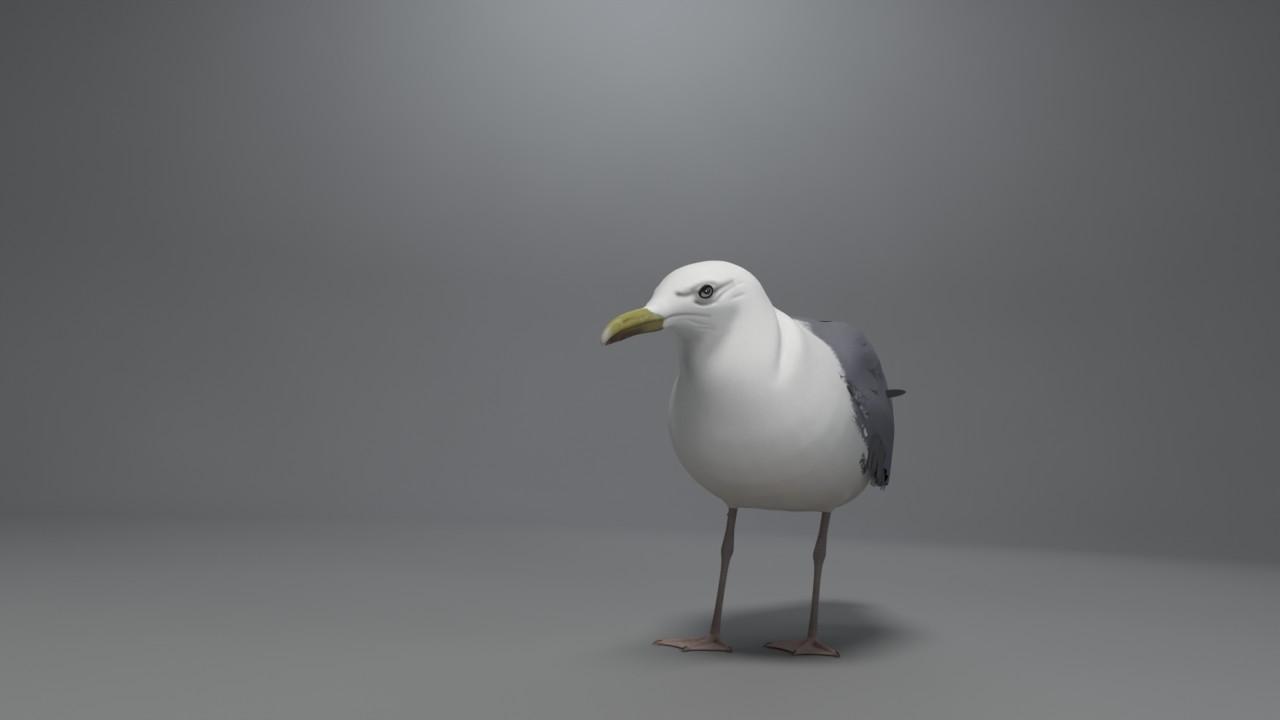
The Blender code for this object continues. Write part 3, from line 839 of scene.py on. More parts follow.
def lay_tufts(skin, roots, runs, lengths, widths, depths, splay):
    """Closed thin feathers that follow the skin: rings of three points and a tip.

    Returns points, faces, marks, maps and normals that stay close to the skin's own.
    """
    count, rings = len(roots), len(TUFT_AT)
    at = np.append(TUFT_AT, 1.0)
    first, first_normal = skin.nearest(roots)
    steps = quill_path(skin, first, first_normal, runs, lengths, splay)
    bend = np.min([dot(normal, first_normal) for _, normal, _ in steps], axis=0)
    folded = np.flatnonzero(bend < CREASE)
    lengths = lengths.copy()
    lengths[folded] *= CREASE_LENGTH
    if len(folded):
        mended = quill_path(skin, first[folded], first_normal[folded], runs[folded], lengths[folded], splay[folded])
        for step, other in zip(steps, mended):
            for whole, part in zip(step, other):
                whole[folded] = part
    aside = unit(sum(np.cross(normal, run) for _, normal, run in steps))
    points = np.empty((count, rings * 3 + 1, 3))
    soft = np.empty((count, rings * 3 + 1, 3))
    vane = np.zeros((count, rings * 3 + 1, 3))
    vane[..., 2] = NO_TIP
    for k, (spot, normal, run) in enumerate(steps):
        height = depths * TUFT_RISE[k]
        centre = spot + normal * height[:, None]
        end = lengths * (1 - at[k])
        if k == rings:
            points[:, -1] = centre
            soft[:, -1] = unit(normal + run * 0.10)
            continue
        half = widths / 2 * TUFT_WIDTH[k]
        camber, sunk = (start + half * share for start, share in (CAMBER, SUNK))
        points[:, 3 * k] = spot + aside * half[:, None] - normal * sunk[:, None]
        points[:, 3 * k + 1] = centre + normal * camber[:, None]
        points[:, 3 * k + 2] = spot - aside * half[:, None] - normal * sunk[:, None]
        for j, sign in enumerate((1, 0, -1)):
            vane[:, 3 * k + j, 0] = end
            vane[:, 3 * k + j, 1] = sign * half
            soft[:, 3 * k + j] = unit(normal + aside * sign * 0.10 - run * 0.03)
    per = rings * 3 + 1
    quads = []
    for k in range(rings - 1):
        for j in range(3):
            i, n = 3 * k + j, 3 * k + (j + 1) % 3
            quads.append((i, n, n + 3, i + 3))
    last = 3 * (rings - 1)
    ends = [(2, 1, 0)] + [(last + j, last + (j + 1) % 3, per - 1) for j in range(3)]
    offset = (np.arange(count) * per)[:, None, None]
    quads = (np.array(quads)[None] + offset).reshape(-1, 4)
    ends = (np.array(ends)[None] + offset).reshape(-1, 3)
    home = unwrap(first, first_normal)
    local = vane[:, :, :2] / np.maximum(lengths, 1e-6)[:, None, None]
    local[:, :, 0] = 0.5 - local[:, :, 0]
    maps = home[:, None, :] + local * PATCH
    return points, [quads, ends], vane, maps, soft


def tint_tufts(points, roots, flecks):
    """One colour for a feather, from the markings and painted shade at its root; on the face, a colour at each of its
    points.
    """
    per = points.shape[1]
    colour = np.repeat(markings_and_shade(roots, flecks)[:, None], per, 1)
    face = np.flatnonzero(in_head(roots)[:, 0] > FACE_BACK)
    if len(face):
        spots = points[face].reshape(-1, 3)
        colour[face] = markings_and_shade(spots, np.repeat(flecks[face], per)).reshape(-1, per, 3)
    return opaque(colour)


# Share of the way from the bill to the tail, and the length of a feather there.
TUFT_LENGTHS = np.array(
    [
        (0, 1.6), (0.1, 2), (0.2, 2.5), (0.28, 3.3), (0.34, 4.8), (0.42, 7.5), (0.5, 10), (0.6, 11.5), (0.8, 13.5),
        (1, 15),
    ]
)
EYE_TUFT, THIGH_TUFT = 1.3, 5.0


def tuft_length(points):
    share, _ = along_spine(points)
    length = np.interp(share, TUFT_LENGTHS[:, 0], TUFT_LENGTHS[:, 1])
    length = np.minimum(length, EYE_TUFT + 3.4 * ramp(eye_gaps(points), 8, 17))
    low = ramp(points[:, 2], 122, 98)
    return length * (1 - low) + THIGH_TUFT * low


# Length of a feather, and how far apart such feathers grow.
TUFT_GAPS = np.array([(1.3, 0.72), (3, 1.02), (6, 1.7), (10, 2.5), (13, 3.15), (17, 3.9)])


def tuft_spacing(points):
    return np.interp(tuft_length(points), TUFT_GAPS[:, 0], TUFT_GAPS[:, 1])


THIGH_RUN = np.array([0, 0.25, -1.0])


def lie(points):
    """The way the feathers point."""
    _, run = along_spine(points)
    thigh = ramp(points[:, 2], THIGH_TOP, THIGH_END - 1)[:, None]
    return unit(run * (1 - thigh) + THIGH_RUN * thigh)


# The side of the body that the folded wings cover: from and to how far back, how far out and how high.
COVERED_FROM, COVERED_TO, COVERED_OUT, COVERED_HIGH = 10.0, 152.0, 34.0, 152.0
UNDER_HIGH = 165.0  # below this lie the belly and the vent, and above it the mantle and the rump
HEAD_BACK = -30.0  # in front of this the head's own middle parts left from right


def grow_coat(skin):
    """The small feathers of the whole body, in tracts of their own."""

    def feathered(points):
        keep = np.ones(len(points), bool)
        for which in SIDES:
            spots = eye_place(points, which)
            near = (spots[:, 0] > 0) & (np.linalg.norm(spots, axis=1) < 13)
            keep &= ~(near & (opening_share(spots) < 1.5))
        keep &= (past_bill_line(in_head(points)) < -0.3) & (points[:, 2] > THIGH_END - 2)
        out = np.abs(points[:, 0] - BODY_MIDDLE_X)
        beside = (points[:, 1] > COVERED_FROM) & (points[:, 1] < COVERED_TO) & (out > COVERED_OUT)
        keep &= ~(beside & (points[:, 2] > COVERED_HIGH))
        return keep.astype(float)

    roots = skin.scatter(tuft_spacing, feathered)
    _, normals = skin.nearest(roots)
    runs = lie(roots)
    count = len(roots)
    flecks = RNG.random(count)
    turn = RNG.normal(0, 0.07, count)[:, None]
    runs = unit(runs + np.cross(normals, runs) * turn)
    splay = RNG.normal(0, 0.16, count)
    lengths = tuft_length(roots) * (0.82 + 0.36 * RNG.random(count))
    widths = lengths * 0.42 + 0.40
    depths = np.maximum(coat_depth(roots), 0.15) * (0.94 + 0.12 * RNG.random(count))
    share, _ = along_spine(roots)
    under = roots[:, 2] < UNDER_HIGH
    regions = {
        "head": share < 0.30,
        "neck": (share >= 0.30) & (share < 0.46),
        "breast": (share >= 0.46) & (share < 0.58),
        "belly": (share >= 0.58) & (share < 0.74) & under,
        "vent": (share >= 0.74) & under,
        "mantle": (share >= 0.58) & (share < 0.74) & ~under,
        "rump": (share >= 0.74) & ~under,
    }
    ahead, aside, _ = in_head(roots).T
    left = np.where(ahead > HEAD_BACK, aside > 0, roots[:, 0] > BODY_MIDDLE_X)
    for region, inside in regions.items():
        for which, mine in (("left", inside & left), ("right", inside & ~left)):
            picked = [a[mine] for a in (roots, runs, lengths, widths, depths, splay)]
            points, faces, vane, maps, soft = lay_tufts(skin, *picked)
            colour = tint_tufts(points, roots[mine], flecks[mine])
            marks = {"markings_and_shade": colour.reshape(-1, 4), "vane": vane.reshape(-1, 3)}
            piece = mesh_object(
                f"{region}_coat_{which}", points.reshape(-1, 3), faces, PLUMAGE, marks, maps.reshape(-1, 2),
                soft.reshape(-1, 3),
            )
            own(piece, "plumage_grey" if region == "mantle" else "plumage_white")


# ---------------------------------------------------------------- large feathers


class WingSheet:
    """The outer face of one folded wing: a place by how far back it is and its share of the way down."""

    # How far back, and how high the line lies there from which the wing's outer face is looked for.
    AXIS = np.array([(-101, 214), (-91, 203), (-63, 190), (-23, 182), (56, 174), (150, 167.5), (278, 165.5)])
    STATIONS = np.concatenate([np.arange(-98, 148, 6.0), np.arange(153, 277, 6.0)])
    ANGLES = np.radians(np.arange(-8, 188, 2.0))
    FAR = 150.0
    COLUMNS = 25

    def __init__(self, which):
        self.side = SIDES[which]
        tree_points, tree_faces = [], []
        for node in ("wing_" + which, "primaries_" + which):
            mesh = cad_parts[node].data
            start = len(tree_points)
            tree_points += [v.co / MM for v in mesh.vertices]
            tree_faces += [[start + i for i in p.vertices] for p in mesh.polygons]
        tree = BVHTree.FromPolygons(tree_points, tree_faces)
        rows, backs = [], []
        for y in self.STATIONS:
            axis = Vector((BODY_MIDDLE_X, y, np.interp(y, self.AXIS[:, 0], self.AXIS[:, 1])))
            line = []
            for a in self.ANGLES:
                out = Vector((self.side * math.sin(a), 0, math.cos(a)))
                hit = tree.ray_cast(axis + out * self.FAR, -out, self.FAR - 1)
                if hit[0] is not None:
                    line.append(np.array(hit[0]))
            if len(line) > 3:
                rows.append(self.evened(slim_shoulder(np.array(line))))
                backs.append(y)
        self.rows, self.backs = np.array(rows), np.array(backs)
        self.spans = np.linalg.norm(np.diff(self.rows, axis=1), axis=2).sum(1)

    def evened(self, line):
        at = np.append(0, np.cumsum(np.linalg.norm(np.diff(line, axis=0), axis=1)))
        even = np.linspace(0, at[-1], self.COLUMNS)
        return np.stack([np.interp(even, at, line[:, k]) for k in range(3)], 1)

    def span(self, back):
        """Millimetres from the wing's upper edge to its lower edge."""
        return np.interp(back, self.backs, self.spans)

    def spot(self, back, down):
        row = np.clip(np.interp(back, self.backs, np.arange(len(self.backs))), 0, len(self.backs) - 1.001)
        i, f = row.astype(int), (row % 1)[..., None]
        column = np.clip(down, 0, 1) * (self.COLUMNS - 1.001)
        j, g = column.astype(int), (column % 1)[..., None]
        low = self.rows[i, j] * (1 - g) + self.rows[i, j + 1] * g
        high = self.rows[i + 1, j] * (1 - g) + self.rows[i + 1, j + 1] * g
        place = low * (1 - f) + high * f
        over = (down - np.clip(down, 0, 1))[..., None] * self.span(back)[..., None]
        edge = np.where(over > 0, self.rows[i, -1] - self.rows[i, -3], self.rows[i, 2] - self.rows[i, 0])
        past = (back - np.clip(back, self.backs[0], self.backs[-1]))[..., None]
        return place + unit(edge) * over + np.array([0, 1, -0.02]) * past

    def level(self, back, height):
        """The share of the way down at which the wing is at a height, above its lower edge."""
        places = self.spot(np.full(self.COLUMNS, float(back)), np.linspace(0, 1, self.COLUMNS))
        return float(np.interp(-height, -places[:, 2], np.linspace(0, 1, self.COLUMNS)))

    def at(self, back, down):
        """Places and outward normals."""
        place = self.spot(back, down)
        run = self.spot(back + 4.0, down) - self.spot(back - 4.0, down)
        fall = self.spot(back, down + 0.02) - self.spot(back, down - 0.02)
        return place, unit(np.cross(fall, run) * self.side)


class TailSheet:
    """The top of the tail: a place by how far back it is from the root and how far to the left, in millimetres."""

    ROOT = np.array([BODY_MIDDLE_X, 136.0, 165.0])
    DROP = math.radians(9)
    ARCH = 0.0042

    def span(self, back):
        return np.ones_like(back)

    def at(self, back, left):
        run = np.array([0, math.cos(self.DROP), -math.sin(self.DROP)])
        up = np.array([0, math.sin(self.DROP), math.cos(self.DROP)])
        place = self.ROOT + run * back[..., None] + np.array([1.0, 0, 0]) * left[..., None]
        place = place - up * (self.ARCH * left**2)[..., None]
        normal = unit(up + np.array([1.0, 0, 0]) * (2 * self.ARCH * left)[..., None])
        return place, normal


class LooseSheet:
    """Where one loose feather lies: a root, the way it runs, the way its face looks, and how it bends outward."""

    def __init__(self, root, run, face, bend=0.0):
        self.root, self.bend = np.array(root, float), bend
        self.run = unit(np.array(run, float))
        face = np.array(face, float)
        self.face = unit(face - self.run * (face @ self.run))
        self.aside = np.cross(self.run, self.face)

    def span(self, back):
        return np.ones_like(back)

    def at(self, back, left):
        place = self.root + self.run * back[..., None] + self.aside * left[..., None]
        place = place + self.face * (self.bend * back**2)[..., None]
        return place, np.broadcast_to(self.face, place.shape)


PRESS_FREE, PRESS_SHARE = 0.9, 0.85  # the height that stays, and how much of the rest is taken away


def press(places, tight):
    """Places brought down towards the skin where tight is 1."""
    flat = places.reshape(-1, 3)
    spots, normals = skin.nearest(flat)
    above = np.maximum(dot(flat - spots, normals) - PRESS_FREE, 0) * tight.reshape(-1) * PRESS_SHARE
    return (flat - normals * above[:, None]).reshape(places.shape)


class Vanes:
    """A joined piece of large feathers, each a thin closed sheet with a quill line."""

    ACROSS = np.array([-1.0, -0.74, -0.36, -0.06, 0.06, 0.36, 0.74, 1.0])
    NICK_HALF = 0.035
    CAMBER = 0.045
    EDGE_THICK, MIDDLE_THICK = 0.10, 0.18
    PRESS_DOWN, PRESS_BACK = (0.26, 0.06), (150, 120)  # where pressing starts and is full
    MAP_COLUMNS, MAP_ROWS = 24, 8

    def __init__(self, rows=12):
        self.rows = rows
        self.points, self.faces, self.colours, self.vanes, self.maps, self.normals = [], [], [], [], [], []
        self.count = 0

    def outline(self, t, a, width, blunt, nicks):
        root = np.clip((t + 0.08) / 0.30, 0, 1) ** 0.6
        end = np.clip(1 - (np.clip(t - blunt, 0, 1) / (1 - blunt)) ** 2.3, 0.02, 1) ** 0.5
        half = width / 2 * root * end
        for at, side, depth in nicks:
            half = half * (1 - depth * hump(t - at, self.NICK_HALF) * np.clip(a * side * 1.4, 0, 1))
        return half

    def add(self, sheet, back, down, length, width, colour, drift=0.0, base=0.0, rise=0.6, tip=NO_TIP,
            blunt=0.8, curl=0.0, roll=0.0, ruffle=0.0, spots=(), turn=0.0, nicks=(), pressed=False):
        """One feather from its root.

        base and rise give the height of its root and how much it rises towards its tip; curl lifts the tip, roll one
        margin and ruffle makes waves. tip is the length of its white end; blunt is where it starts to round off;
        spots are (near, far, colour), measured from the tip.
        """
        t, a = np.meshgrid(np.linspace(0, 1, self.rows), self.ACROSS, indexing="ij")
        half = self.outline(t, a, width, blunt, nicks)
        y = back + length * t * math.cos(turn)
        v = down + drift * t + (a * half + length * t * math.sin(turn)) / sheet.span(y)
        place, normal = sheet.at(y, v)
        wave = ruffle * np.sin(t * 5.1 + a * 2.3 + self.count) * t**2
        quill = 0.10 * (np.abs(a) < 0.1) * (1 - t)
        height = base + rise * t + curl * t**3 + self.CAMBER * half * (1 - a**2) + roll * a * half + wave + quill
        thick = (self.EDGE_THICK + self.MIDDLE_THICK * (1 - a**2)) * (1.15 - 0.6 * t)
        top = place + normal * height[..., None]
        under = place + normal * (height - thick)[..., None]
        if pressed:
            tight = ramp(v, *self.PRESS_DOWN) * ramp(y, *self.PRESS_BACK)
            top, under = press(top, tight), press(under, tight)
        own_face = unit(np.cross(np.gradient(top, axis=0), np.gradient(top, axis=1)))
        own_face *= np.sign(dot(own_face, normal))[..., None]
        soft = unit(normal + own_face)
        grid = np.arange(t.size).reshape(t.shape)
        quads = np.stack([grid[:-1, :-1], grid[1:, :-1], grid[1:, 1:], grid[:-1, 1:]], 2).reshape(-1, 4)
        rim = np.concatenate([grid[:, 0], grid[-1, 1:], grid[-2::-1, -1], grid[0, -2:0:-1]])
        after = np.roll(rim, -1)
        walls = np.stack([rim, rim + t.size, after + t.size, after], 1)
        faces = np.concatenate([quads, quads[:, ::-1] + t.size, walls])
        flat = np.concatenate([top.reshape(-1, 3), under.reshape(-1, 3)])
        start = sum(len(p) for p in self.points)
        self.faces.append(outward(flat, [faces])[0] + start)
        self.points.append(flat)
        self.normals += [soft.reshape(-1, 3), -soft.reshape(-1, 3)]
        gap = length * (1 - t)
        shade = np.broadcast_to(np.asarray(colour, float), (*t.shape, 3)).copy()
        for near, far, other in spots:
            patch = ((gap >= near) & (gap <= far))[..., None]
            shade = np.where(patch, other, shade)
        shade = opaque(shade).reshape(-1, 4)
        across = a * half
        inset = length * (1 - blunt) * (1 - np.sqrt(np.clip(1 - (2 * across / width) ** 2, 0, 1)))
        mark = np.stack([gap - inset, across, np.full_like(gap, tip)], 2).reshape(-1, 3)
        self.colours += [shade, shade]
        self.vanes += [mark, mark]
        column, row = self.count % self.MAP_COLUMNS, self.count // self.MAP_COLUMNS
        u = (column + 0.5 + a * 0.45) / self.MAP_COLUMNS
        w = (row + 0.04 + t * 0.92) / self.MAP_ROWS
        self.maps += [np.stack([u, w], 2).reshape(-1, 2)] * 2
        self.count += 1

    def piece(self, name, slot, *nodes):
        marks = {"markings_and_shade": np.concatenate(self.colours), "vane": np.concatenate(self.vanes)}
        made = mesh_object(
            name, np.concatenate(self.points), [np.concatenate(self.faces)], PLUMAGE, marks,
            np.concatenate(self.maps), np.concatenate(self.normals),
        )
        return own(made, slot, *nodes)


def outward(points, faces):
    """Turns the faces over if they look inward."""
    volume = 0.0
    middle = points.mean(0)
    for group in faces:
        a, b, c = (points[group[:, k]] - middle for k in range(3))
        volume += dot(a, np.cross(b, c)).sum()
        if group.shape[1] == 4:
            volume += dot(a, np.cross(c, points[group[:, 3]] - middle)).sum()
    return faces if volume > 0 else [group[:, ::-1] for group in faces]


def ash(chance, spread=0.045):
    return ASH * (1 + chance.normal(0, spread))


def nicks(chance, most=2):
    """A few places where the barbs have parted."""
    return [
        (chance.uniform(0.45, 0.92), chance.choice((-1, 1)), chance.uniform(0.1, 0.3))
        for _ in range(chance.integers(0, most + 1))
    ]


PRIMARY_ROOT, PRIMARY_TIPS = 74.0, (279.0, 266.0, 251.0, 236.0, 221.0, 207.0, 194.0)
MIRROR = (24, 46, WHITE * 0.97)  # the white patch of the longest primary, measured from its tip


def wing_feathers(which):
    sheet = WingSheet(which)
    windblown = which == "left"
    chance = np.random.default_rng(5 if windblown else 6)

    # From the lowest, longest primary up to the shortest that shows.
    flight = Vanes(rows=30)
    for n, tip_at in enumerate(PRIMARY_TIPS):
        flight.add(
            sheet, PRIMARY_ROOT, 0.90 - 0.10 * n, tip_at - PRIMARY_ROOT, 18.0, SLATE, drift=-0.06 - 0.03 * n,
            base=-2.0 + 0.30 * n, rise=0.8, tip=2.5 if n == 0 else 5.5, blunt=0.90, roll=-0.03,
            spots=[MIRROR] if n == 0 else (), nicks=nicks(chance, 1),
        )
    flight.piece("primary_feathers_" + which, "plumage_black", "primaries_" + which)

    inner = Vanes(rows=18)
    for n in range(9):
        inner.add(
            sheet, 14 + 2.2 * n, 0.985 - 0.05 * n, 90 + 1.5 * n, 23, ash(chance), base=-1.7 + 0.08 * n, rise=0.6,
            tip=9, blunt=0.88, roll=-0.03, nicks=nicks(chance, 1),
        )
    inner.piece("secondary_feathers_" + which, "plumage_grey")

    coverts = Vanes(rows=13)
    for n in range(12):
        coverts.add(
            sheet, -8 + 1.4 * n + chance.normal(0, 1.2), 1.0 - 0.05 * n, 56 + chance.normal(0, 2), 21, ash(chance),
            base=-1.1 + 0.05 * n, rise=0.8, blunt=0.78, roll=-0.03, nicks=nicks(chance),
        )
    for n in range(14):
        coverts.add(
            sheet, -30 + 1.2 * n + chance.normal(0, 1.2), 1.0 - 0.046 * n, 36 + chance.normal(0, 1.5), 17,
            ash(chance), base=-0.9 + 0.045 * n, rise=0.8, blunt=0.72, roll=-0.03, nicks=nicks(chance),
        )
    coverts.piece("covert_feathers_" + which, "plumage_grey")

    top = Vanes(rows=14)
    for n in range(6):
        top.add(
            sheet, 48 - 2.0 * n, 0.52 - 0.09 * n, 100 - 6.0 * n, 36, ash(chance), drift=0.03, base=-1.3 + 0.14 * n,
            rise=0.9, tip=12, blunt=0.84, curl=chance.uniform(0, 2.0) if windblown else 0.4, roll=-0.03,
            ruffle=0.5 if windblown else 0.2, nicks=nicks(chance), pressed=True,
        )
    for row in range(8):
        for n in range(7):
            length = 48 - 3.0 * row + chance.normal(0, 2)
            lifted = windblown and row < 4 and n > 3 and chance.random() < 0.5
            top.add(
                sheet, 50 - 15 * row + chance.normal(0, 1.8), -0.03 + 0.074 * n + 0.037 * (row % 2), length,
                26 - 1.3 * row, ash(chance), base=-0.35 - 0.02 * row + 0.05 * (6 - n), rise=1.15,
                tip=4.5 if row == 0 else NO_TIP, blunt=0.66, roll=-0.02,
                curl=chance.uniform(1.5, 4.0) if lifted else chance.uniform(0, 0.4),
                ruffle=0.5 if lifted else 0.12, nicks=nicks(chance), pressed=True,
            )
    top.piece("scapular_feathers_" + which, "plumage_grey")
    return sheet


# Height of the root, length, width and lift of the ruffled feathers on the left shoulder's outline.
RUFFLED = [(241, 21, 12, 2.6), (227, 23, 14, 3.1), (213, 20, 12, 1.8)]
RUFFLED_BACK = -86.0
# Where the worn feathers of the wing's bend grow, and the breast feathers that overlap its edge.
WORN_ROOTS = np.array([(66.5, -128, 203), (74.5, -96, 184)])
FLANK_ROOTS = np.array([(67.5, -125, 188), (72.5, -95, 173)])


def stray_feathers(sheet):
    """Feathers of the left wing that wear and wind have lifted, and breast feathers that overlap its edge."""
    chance = np.random.default_rng(9)
    stray = Vanes(rows=12)
    for height, length, width, lift in RUFFLED:
        stray.add(
            sheet, RUFFLED_BACK, sheet.level(RUFFLED_BACK, height), length, width, ash(chance) * 0.95, curl=lift,
            base=-0.4, rise=0.9, blunt=0.6, ruffle=0.2, nicks=nicks(chance, 3),
        )
    spike = LooseSheet((79, -16, 207), (0.98, -0.06, 0.16), (0.10, -0.9, 0.3), bend=-0.004)
    stray.add(spike, 0, 0, 19.5, 7.5, SLATE * 1.2, blunt=0.10, base=0, rise=0)
    for _ in range(18):
        across = chance.uniform(0, 1)
        root = WORN_ROOTS[0] * (1 - across) + WORN_ROOTS[1] * across
        run = (0.30 + chance.normal(0, 0.12), 0.9, -0.35 + chance.normal(0, 0.2))
        worn = LooseSheet(root, run, (1.0, -0.35, 0.15), bend=chance.uniform(0.002, 0.012))
        pick = chance.random()
        tone = ASH * 1.5 if pick < 0.3 else BROWN if pick < 0.65 else ASH * 0.8
        stray.add(worn, 0, 0, chance.uniform(6, 10), chance.uniform(2.5, 4), tone, blunt=0.4, nicks=nicks(chance, 3))
    for n in range(7):
        across = n / 6
        root = FLANK_ROOTS[0] * (1 - across) + FLANK_ROOTS[1] * across
        run = (0.22 + chance.normal(0, 0.05), 0.85, -0.42 + chance.normal(0, 0.1))
        flank = LooseSheet(root, run, (1.0, -0.3, 0.05), bend=chance.uniform(0.001, 0.004))
        stray.add(
            flank, 0, 0, chance.uniform(10, 14), chance.uniform(4.5, 6.5), WHITE, base=-0.3, rise=0.8, blunt=0.4,
            nicks=nicks(chance, 3),
        )
    stray.piece("stray_feathers", "plumage_grey")


# Roots of the feathers that close the hollow under the front of each wing, for the left one.
UNDER_EDGE = [(76, -66, 178), (79.5, -56, 169), (82, -42, 160), (82.5, -24, 154), (81.5, -4, 149), (80, 18, 146)]
EDGE_TONE = np.array([0.80, 0.77, 0.76])


def edge_feathers(which):
    """Under wing coverts that hang over the hollow between the flank and the wing's lower edge."""
    chance = np.random.default_rng(21 + SIDES[which])
    fringe = Vanes(rows=12)
    roots = curve(UNDER_EDGE, 17)
    for n, (root, along) in enumerate(zip(roots, np.gradient(roots, axis=0))):
        place = root - [BODY_MIDDLE_X, 0, 0]
        place = place * [SIDES[which], 1, 1] + [BODY_MIDDLE_X, 0, 0] + chance.normal(0, 0.5, 3)
        run = (SIDES[which] * (-0.16 + chance.normal(0, 0.03)), 0.55 + chance.normal(0, 0.05), -0.80)
        face = np.cross(run, along * [SIDES[which], 1, 1]) * SIDES[which]
        sheet = LooseSheet(place, run, face, bend=-0.002)
        fringe.add(
            sheet, 0, 0, 27 - 0.35 * n + chance.normal(0, 1.0), 13, ash(chance) * EDGE_TONE, base=-0.4 - 0.1 * (n % 2),
            rise=0.3, blunt=0.7, ruffle=0.1, roll=-0.03 * SIDES[which], nicks=nicks(chance),
        )
    fringe.piece("edge_feathers_" + which, "plumage_grey")


def tail_feathers():
    sheet = TailSheet()
    vanes = Vanes(rows=14)
    for n in sorted(range(12), key=lambda n: -abs(n - 5.5)):
        off = n - 5.5
        vanes.add(
            sheet, 0.0, off * 2.6, 108 - 0.35 * off**2, 25, WHITE * 0.99, base=-0.35 * abs(off), rise=0.2,
            blunt=0.88, roll=0.015 * np.sign(off), turn=math.radians(1.7 * off),
        )
    vanes.piece("tail_feathers", "plumage_white", "tail")


# ---------------------------------------------------------------- bill and eyes

# How far along the head's first axis, the top and bottom there, half the width, and the slice's turn in degrees.
UPPER_BILL = [
    (22.0, -11.8, -13.3, 7.6, 0), (25.0, -10.3, -12.9, 8.0, 0), (28.5, -8.9, -12.6, 8.3, 0),
    (31.0, -7.2, -12.4, 8.6, 0), (34.0, -5.0, -12.2, 8.5, 0), (38.0, -3.6, -12.1, 7.6, 0),
    (44.0, -2.8, -12.2, 6.8, 0), (50.0, -2.9, -12.4, 6.2, 0), (56.0, -3.2, -12.7, 5.8, 0),
    (66.0, -4.6, -13.4, 5.1, 6), (74.0, -7.4, -14.4, 4.2, 20), (80.2, -11.8, -16.3, 3.1, 40),
    (83.6, -16.4, -19.0, 1.9, 62), (84.5, -19.6, -20.4, 0.7, 76),
]
LOWER_BILL = [
    (26.0, -12.8, -18.6, 6.6, 0), (30.0, -12.3, -19.6, 7.1, 0), (34.0, -12.0, -20.0, 7.1, 0),
    (44.0, -12.1, -19.4, 5.9, 0), (54.0, -12.5, -18.9, 5.0, 0), (62.0, -13.0, -19.4, 4.4, 0),
    (68.0, -13.8, -19.9, 3.8, 0), (74.0, -15.2, -20.1, 3.0, 0), (79.0, -17.2, -20.4, 1.9, 0),
    (81.5, -18.8, -20.5, 1.0, 0),
]
BILL_RINGS, BILL_OUTER, BILL_INNER = 90, 32, 12
BILL_ROUND = BILL_OUTER + BILL_INNER


def bill_half(table, upper):
    """A horny sheath: widest at its cutting edge, with a rounded ridge."""
    rows = curve(table, BILL_RINGS)
    rings = []
    around = np.linspace(0, math.pi, BILL_OUTER)
    inner = np.linspace(-1, 1, BILL_INNER + 2)[1:-1]
    for along, top, bottom, half, turn in rows:
        turn = math.radians(turn)
        edge, far = (bottom, top) if upper else (top, bottom)
        side = np.sign(np.cos(around)) * np.abs(np.cos(around)) ** 0.72 * half
        rise = edge + (far - edge) * np.sin(around) ** 0.86
        side = np.concatenate([side, inner * half * 0.98])
        rise = np.concatenate([rise, edge + (far - edge) * 0.10 * (1 - inner**2)])
        middle = (top + bottom) / 2
        ahead = along + (rise - middle) * math.sin(turn)
        rings.append(np.stack([ahead, side, middle + (rise - middle) * math.cos(turn)], 1))
    return np.array(rings)


def loft_faces(rings, around):
    grid = np.arange(rings * around).reshape(rings, around)
    after = np.roll(grid, -1, axis=1)
    return np.stack([grid[:-1], after[:-1], after[1:], grid[1:]], 2).reshape(-1, 4)


def capped(points, rings, around):
    """Adds a middle point to each end. Returns points and faces."""
    first, last = points[:around].mean(0), points[-around:].mean(0)
    total = rings * around
    ring = np.arange(around)
    start = np.stack([np.roll(ring, -1), ring, np.full(around, total)], 1)
    end = np.stack([ring, np.roll(ring, -1), np.full(around, 0)], 1) + (rings - 1) * around
    end[:, 2] = total + 1
    return np.concatenate([points, [first, last]]), [loft_faces(rings, around), start, end]


NOSTRIL = [(60.0, 5.4, -7.4), (66.5, 5.0, -8.6)]
NOSTRIL_GROOVE = [(50.0, 6.2, -7.6), (60.0, 5.4, -7.4), (70.0, 4.6, -9.3)]
NOSTRIL_DEPTH, GROOVE_DEPTH = 1.2, 0.2
# How far along the bill, and the height of the upper half's cutting edge there.
CUTTING_EDGE = np.array([(30, -12.0), (56, -12.6), (70, -14.0), (82, -18.0)])

HORN = np.array([0.36, 0.345, 0.095])
GAPE = np.array([0.34, 0.325, 0.16])
# Painted shade along the upper half's cutting edge, in the nostril's groove and inside the nostril; the pale tip is
# the horn's own.
EDGE_SHADE_HORN, TIP_HORN = (0.17, 0.10, 0.03), (0.48, 0.49, 0.43)
GROOVE_SHADE_HORN, NOSTRIL_SHADE_HORN = (0.16, 0.12, 0.025), (0.02, 0.015, 0.01)
# Painted shade over the lower half, deepest at its underside; its red spot and pale tip are its own.
LOWER_SHADE_HORN, DEEP_SHADE_HORN, LOWER_TIP = (0.23, 0.19, 0.075), (0.085, 0.05, 0.035), (0.22, 0.18, 0.14)
RED_SPOT = (0.11, 0.022, 0.018)


def nostril_gaps(spots):
    """How far each place of the bill is from the nostril of its side and from its groove."""
    folded = np.abs(spots) * [1, 1, -1]
    return gap_to_line(folded, NOSTRIL)[0], gap_to_line(folded, NOSTRIL_GROOVE)[0]


